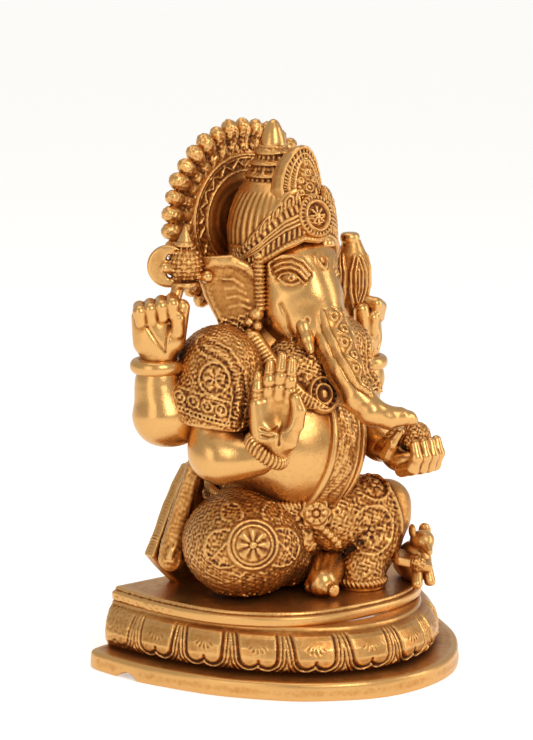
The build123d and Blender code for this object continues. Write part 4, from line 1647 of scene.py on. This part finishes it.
make("right_front_bangle_cast", ["right_front_bangle"],
     bangle_field((-45.5, -9.5, 127.5), 10.6, 3.0, spin(30, 22, 0), 30), 0.5, 6, WORKED)
make("blessing_hand", ["right_front_hand"], blessing_hand_field(), 0.5, 6, POLISHED)
make("left_front_arm_cast", ["left_front_arm"], left_front_arm_field(), 0.75, 6, POLISHED)
make("left_front_bangle_cast", ["left_front_bangle"],
     bangle_field((44, -18.5, 118.3), 9.8, 2.8, spin(86), 28), 0.5, 5, WORKED)
make("offering_hand", ["left_front_hand"], left_front_hand_field(), 0.55, 6, POLISHED)
make("sweet_cast", ["sweet_ball"], sweet_field((40.5, -34.5, 127.5), 8.3), 0.5, 3, AGED)
make("collar_cast", ["necklace"], necklace_field(), 0.62, 9, AGED)
make("pendant_cast", ["pendant"], pendant_field(), 0.5, 9, AGED)
make("girdle", ["waist_belt"], belt_field(), 0.62, 7, AGED)
make("girdle_clasp", ["belt_clasp"], clasp_field(), 0.5, 9, WORKED)
make("mouse_body_cast", ["mouse_body"], mouse_body_field(), 0.6, 9, PLAIN)
make("mouse_head_cast", ["mouse_head"], mouse_head_field(), 0.55, 9, PLAIN)
make("mouse_sweet_cast", ["mouse_sweet"], sweet_field((43, -34, 56), 4.6), 0.5, 4, AGED)
shade_attributes()

# The picture: a pale floor, soft studio light, and the camera a little above level, on the
# figure's right. These lengths are in metres.
camera_data = bpy.data.cameras.new("camera")
camera = bpy.data.objects.new("camera", camera_data)
bpy.context.scene.collection.objects.link(camera)
bpy.context.scene.camera = camera
azimuth, elevation, distance = math.radians(-40), math.radians(10), 1.400
target = Vector((-0.0413, -0.0044, 0.170))
back = Vector((math.sin(azimuth) * math.cos(elevation), -math.cos(azimuth) * math.cos(elevation),
               math.sin(elevation)))
camera.location = target + back * distance
camera.rotation_euler = back.to_track_quat("Z", "Y").to_euler()
camera_data.sensor_width = 36.0
camera_data.lens = 127.216
camera_data.clip_end = 200.0

floor_mesh = bpy.data.meshes.new("floor")
floor_mesh.from_pydata([(-60, -60, 0), (60, -60, 0), (60, 60, 0), (-60, 60, 0)], [], [(0, 1, 2, 3)])
floor = bpy.data.objects.new("floor", floor_mesh)
bpy.context.scene.collection.objects.link(floor)
paper = bpy.data.materials.new("paper")
paper.use_nodes = True
for socket, value in (("Base Color", (0.92, 0.92, 0.91, 1)), ("Roughness", 0.9),
                      ("Emission Color", (1.0, 0.99, 0.97, 1)), ("Emission Strength", 0.42)):
    paper.node_tree.nodes["Principled BSDF"].inputs[socket].default_value = value
floor_mesh.materials.append(paper)

world = bpy.data.worlds.new("studio")
bpy.context.scene.world = world
world.use_nodes = True
world.node_tree.nodes["Background"].inputs["Color"].default_value = (1.0, 0.985, 0.96, 1)
world.node_tree.nodes["Background"].inputs["Strength"].default_value = 0.60


def lamp(name, place, aim, size, power, colour=(1.0, 0.97, 0.92)):
    data = bpy.data.lights.new(name, "AREA")
    data.shape = "RECTANGLE"
    data.size, data.size_y = size
    data.energy = power
    data.color = colour
    made = bpy.data.objects.new(name, data)
    made.location = place
    made.rotation_euler = (Vector(place) - Vector(aim)).to_track_quat("Z", "Y").to_euler()
    bpy.context.scene.collection.objects.link(made)


middle_of_figure = (0, 0, 0.16)
lamp("key", (-0.35, -1.25, 0.95), middle_of_figure, (0.55, 0.8), 7)
lamp("fill", (-1.35, -0.25, 0.55), middle_of_figure, (0.6, 0.9), 2.2)
lamp("right", (0.9, -0.75, 0.5), middle_of_figure, (0.35, 0.9), 3)
lamp("top", (-0.1, 0.1, 1.4), middle_of_figure, (0.9, 0.9), 3)

bpy.context.scene.view_settings.view_transform = "Standard"
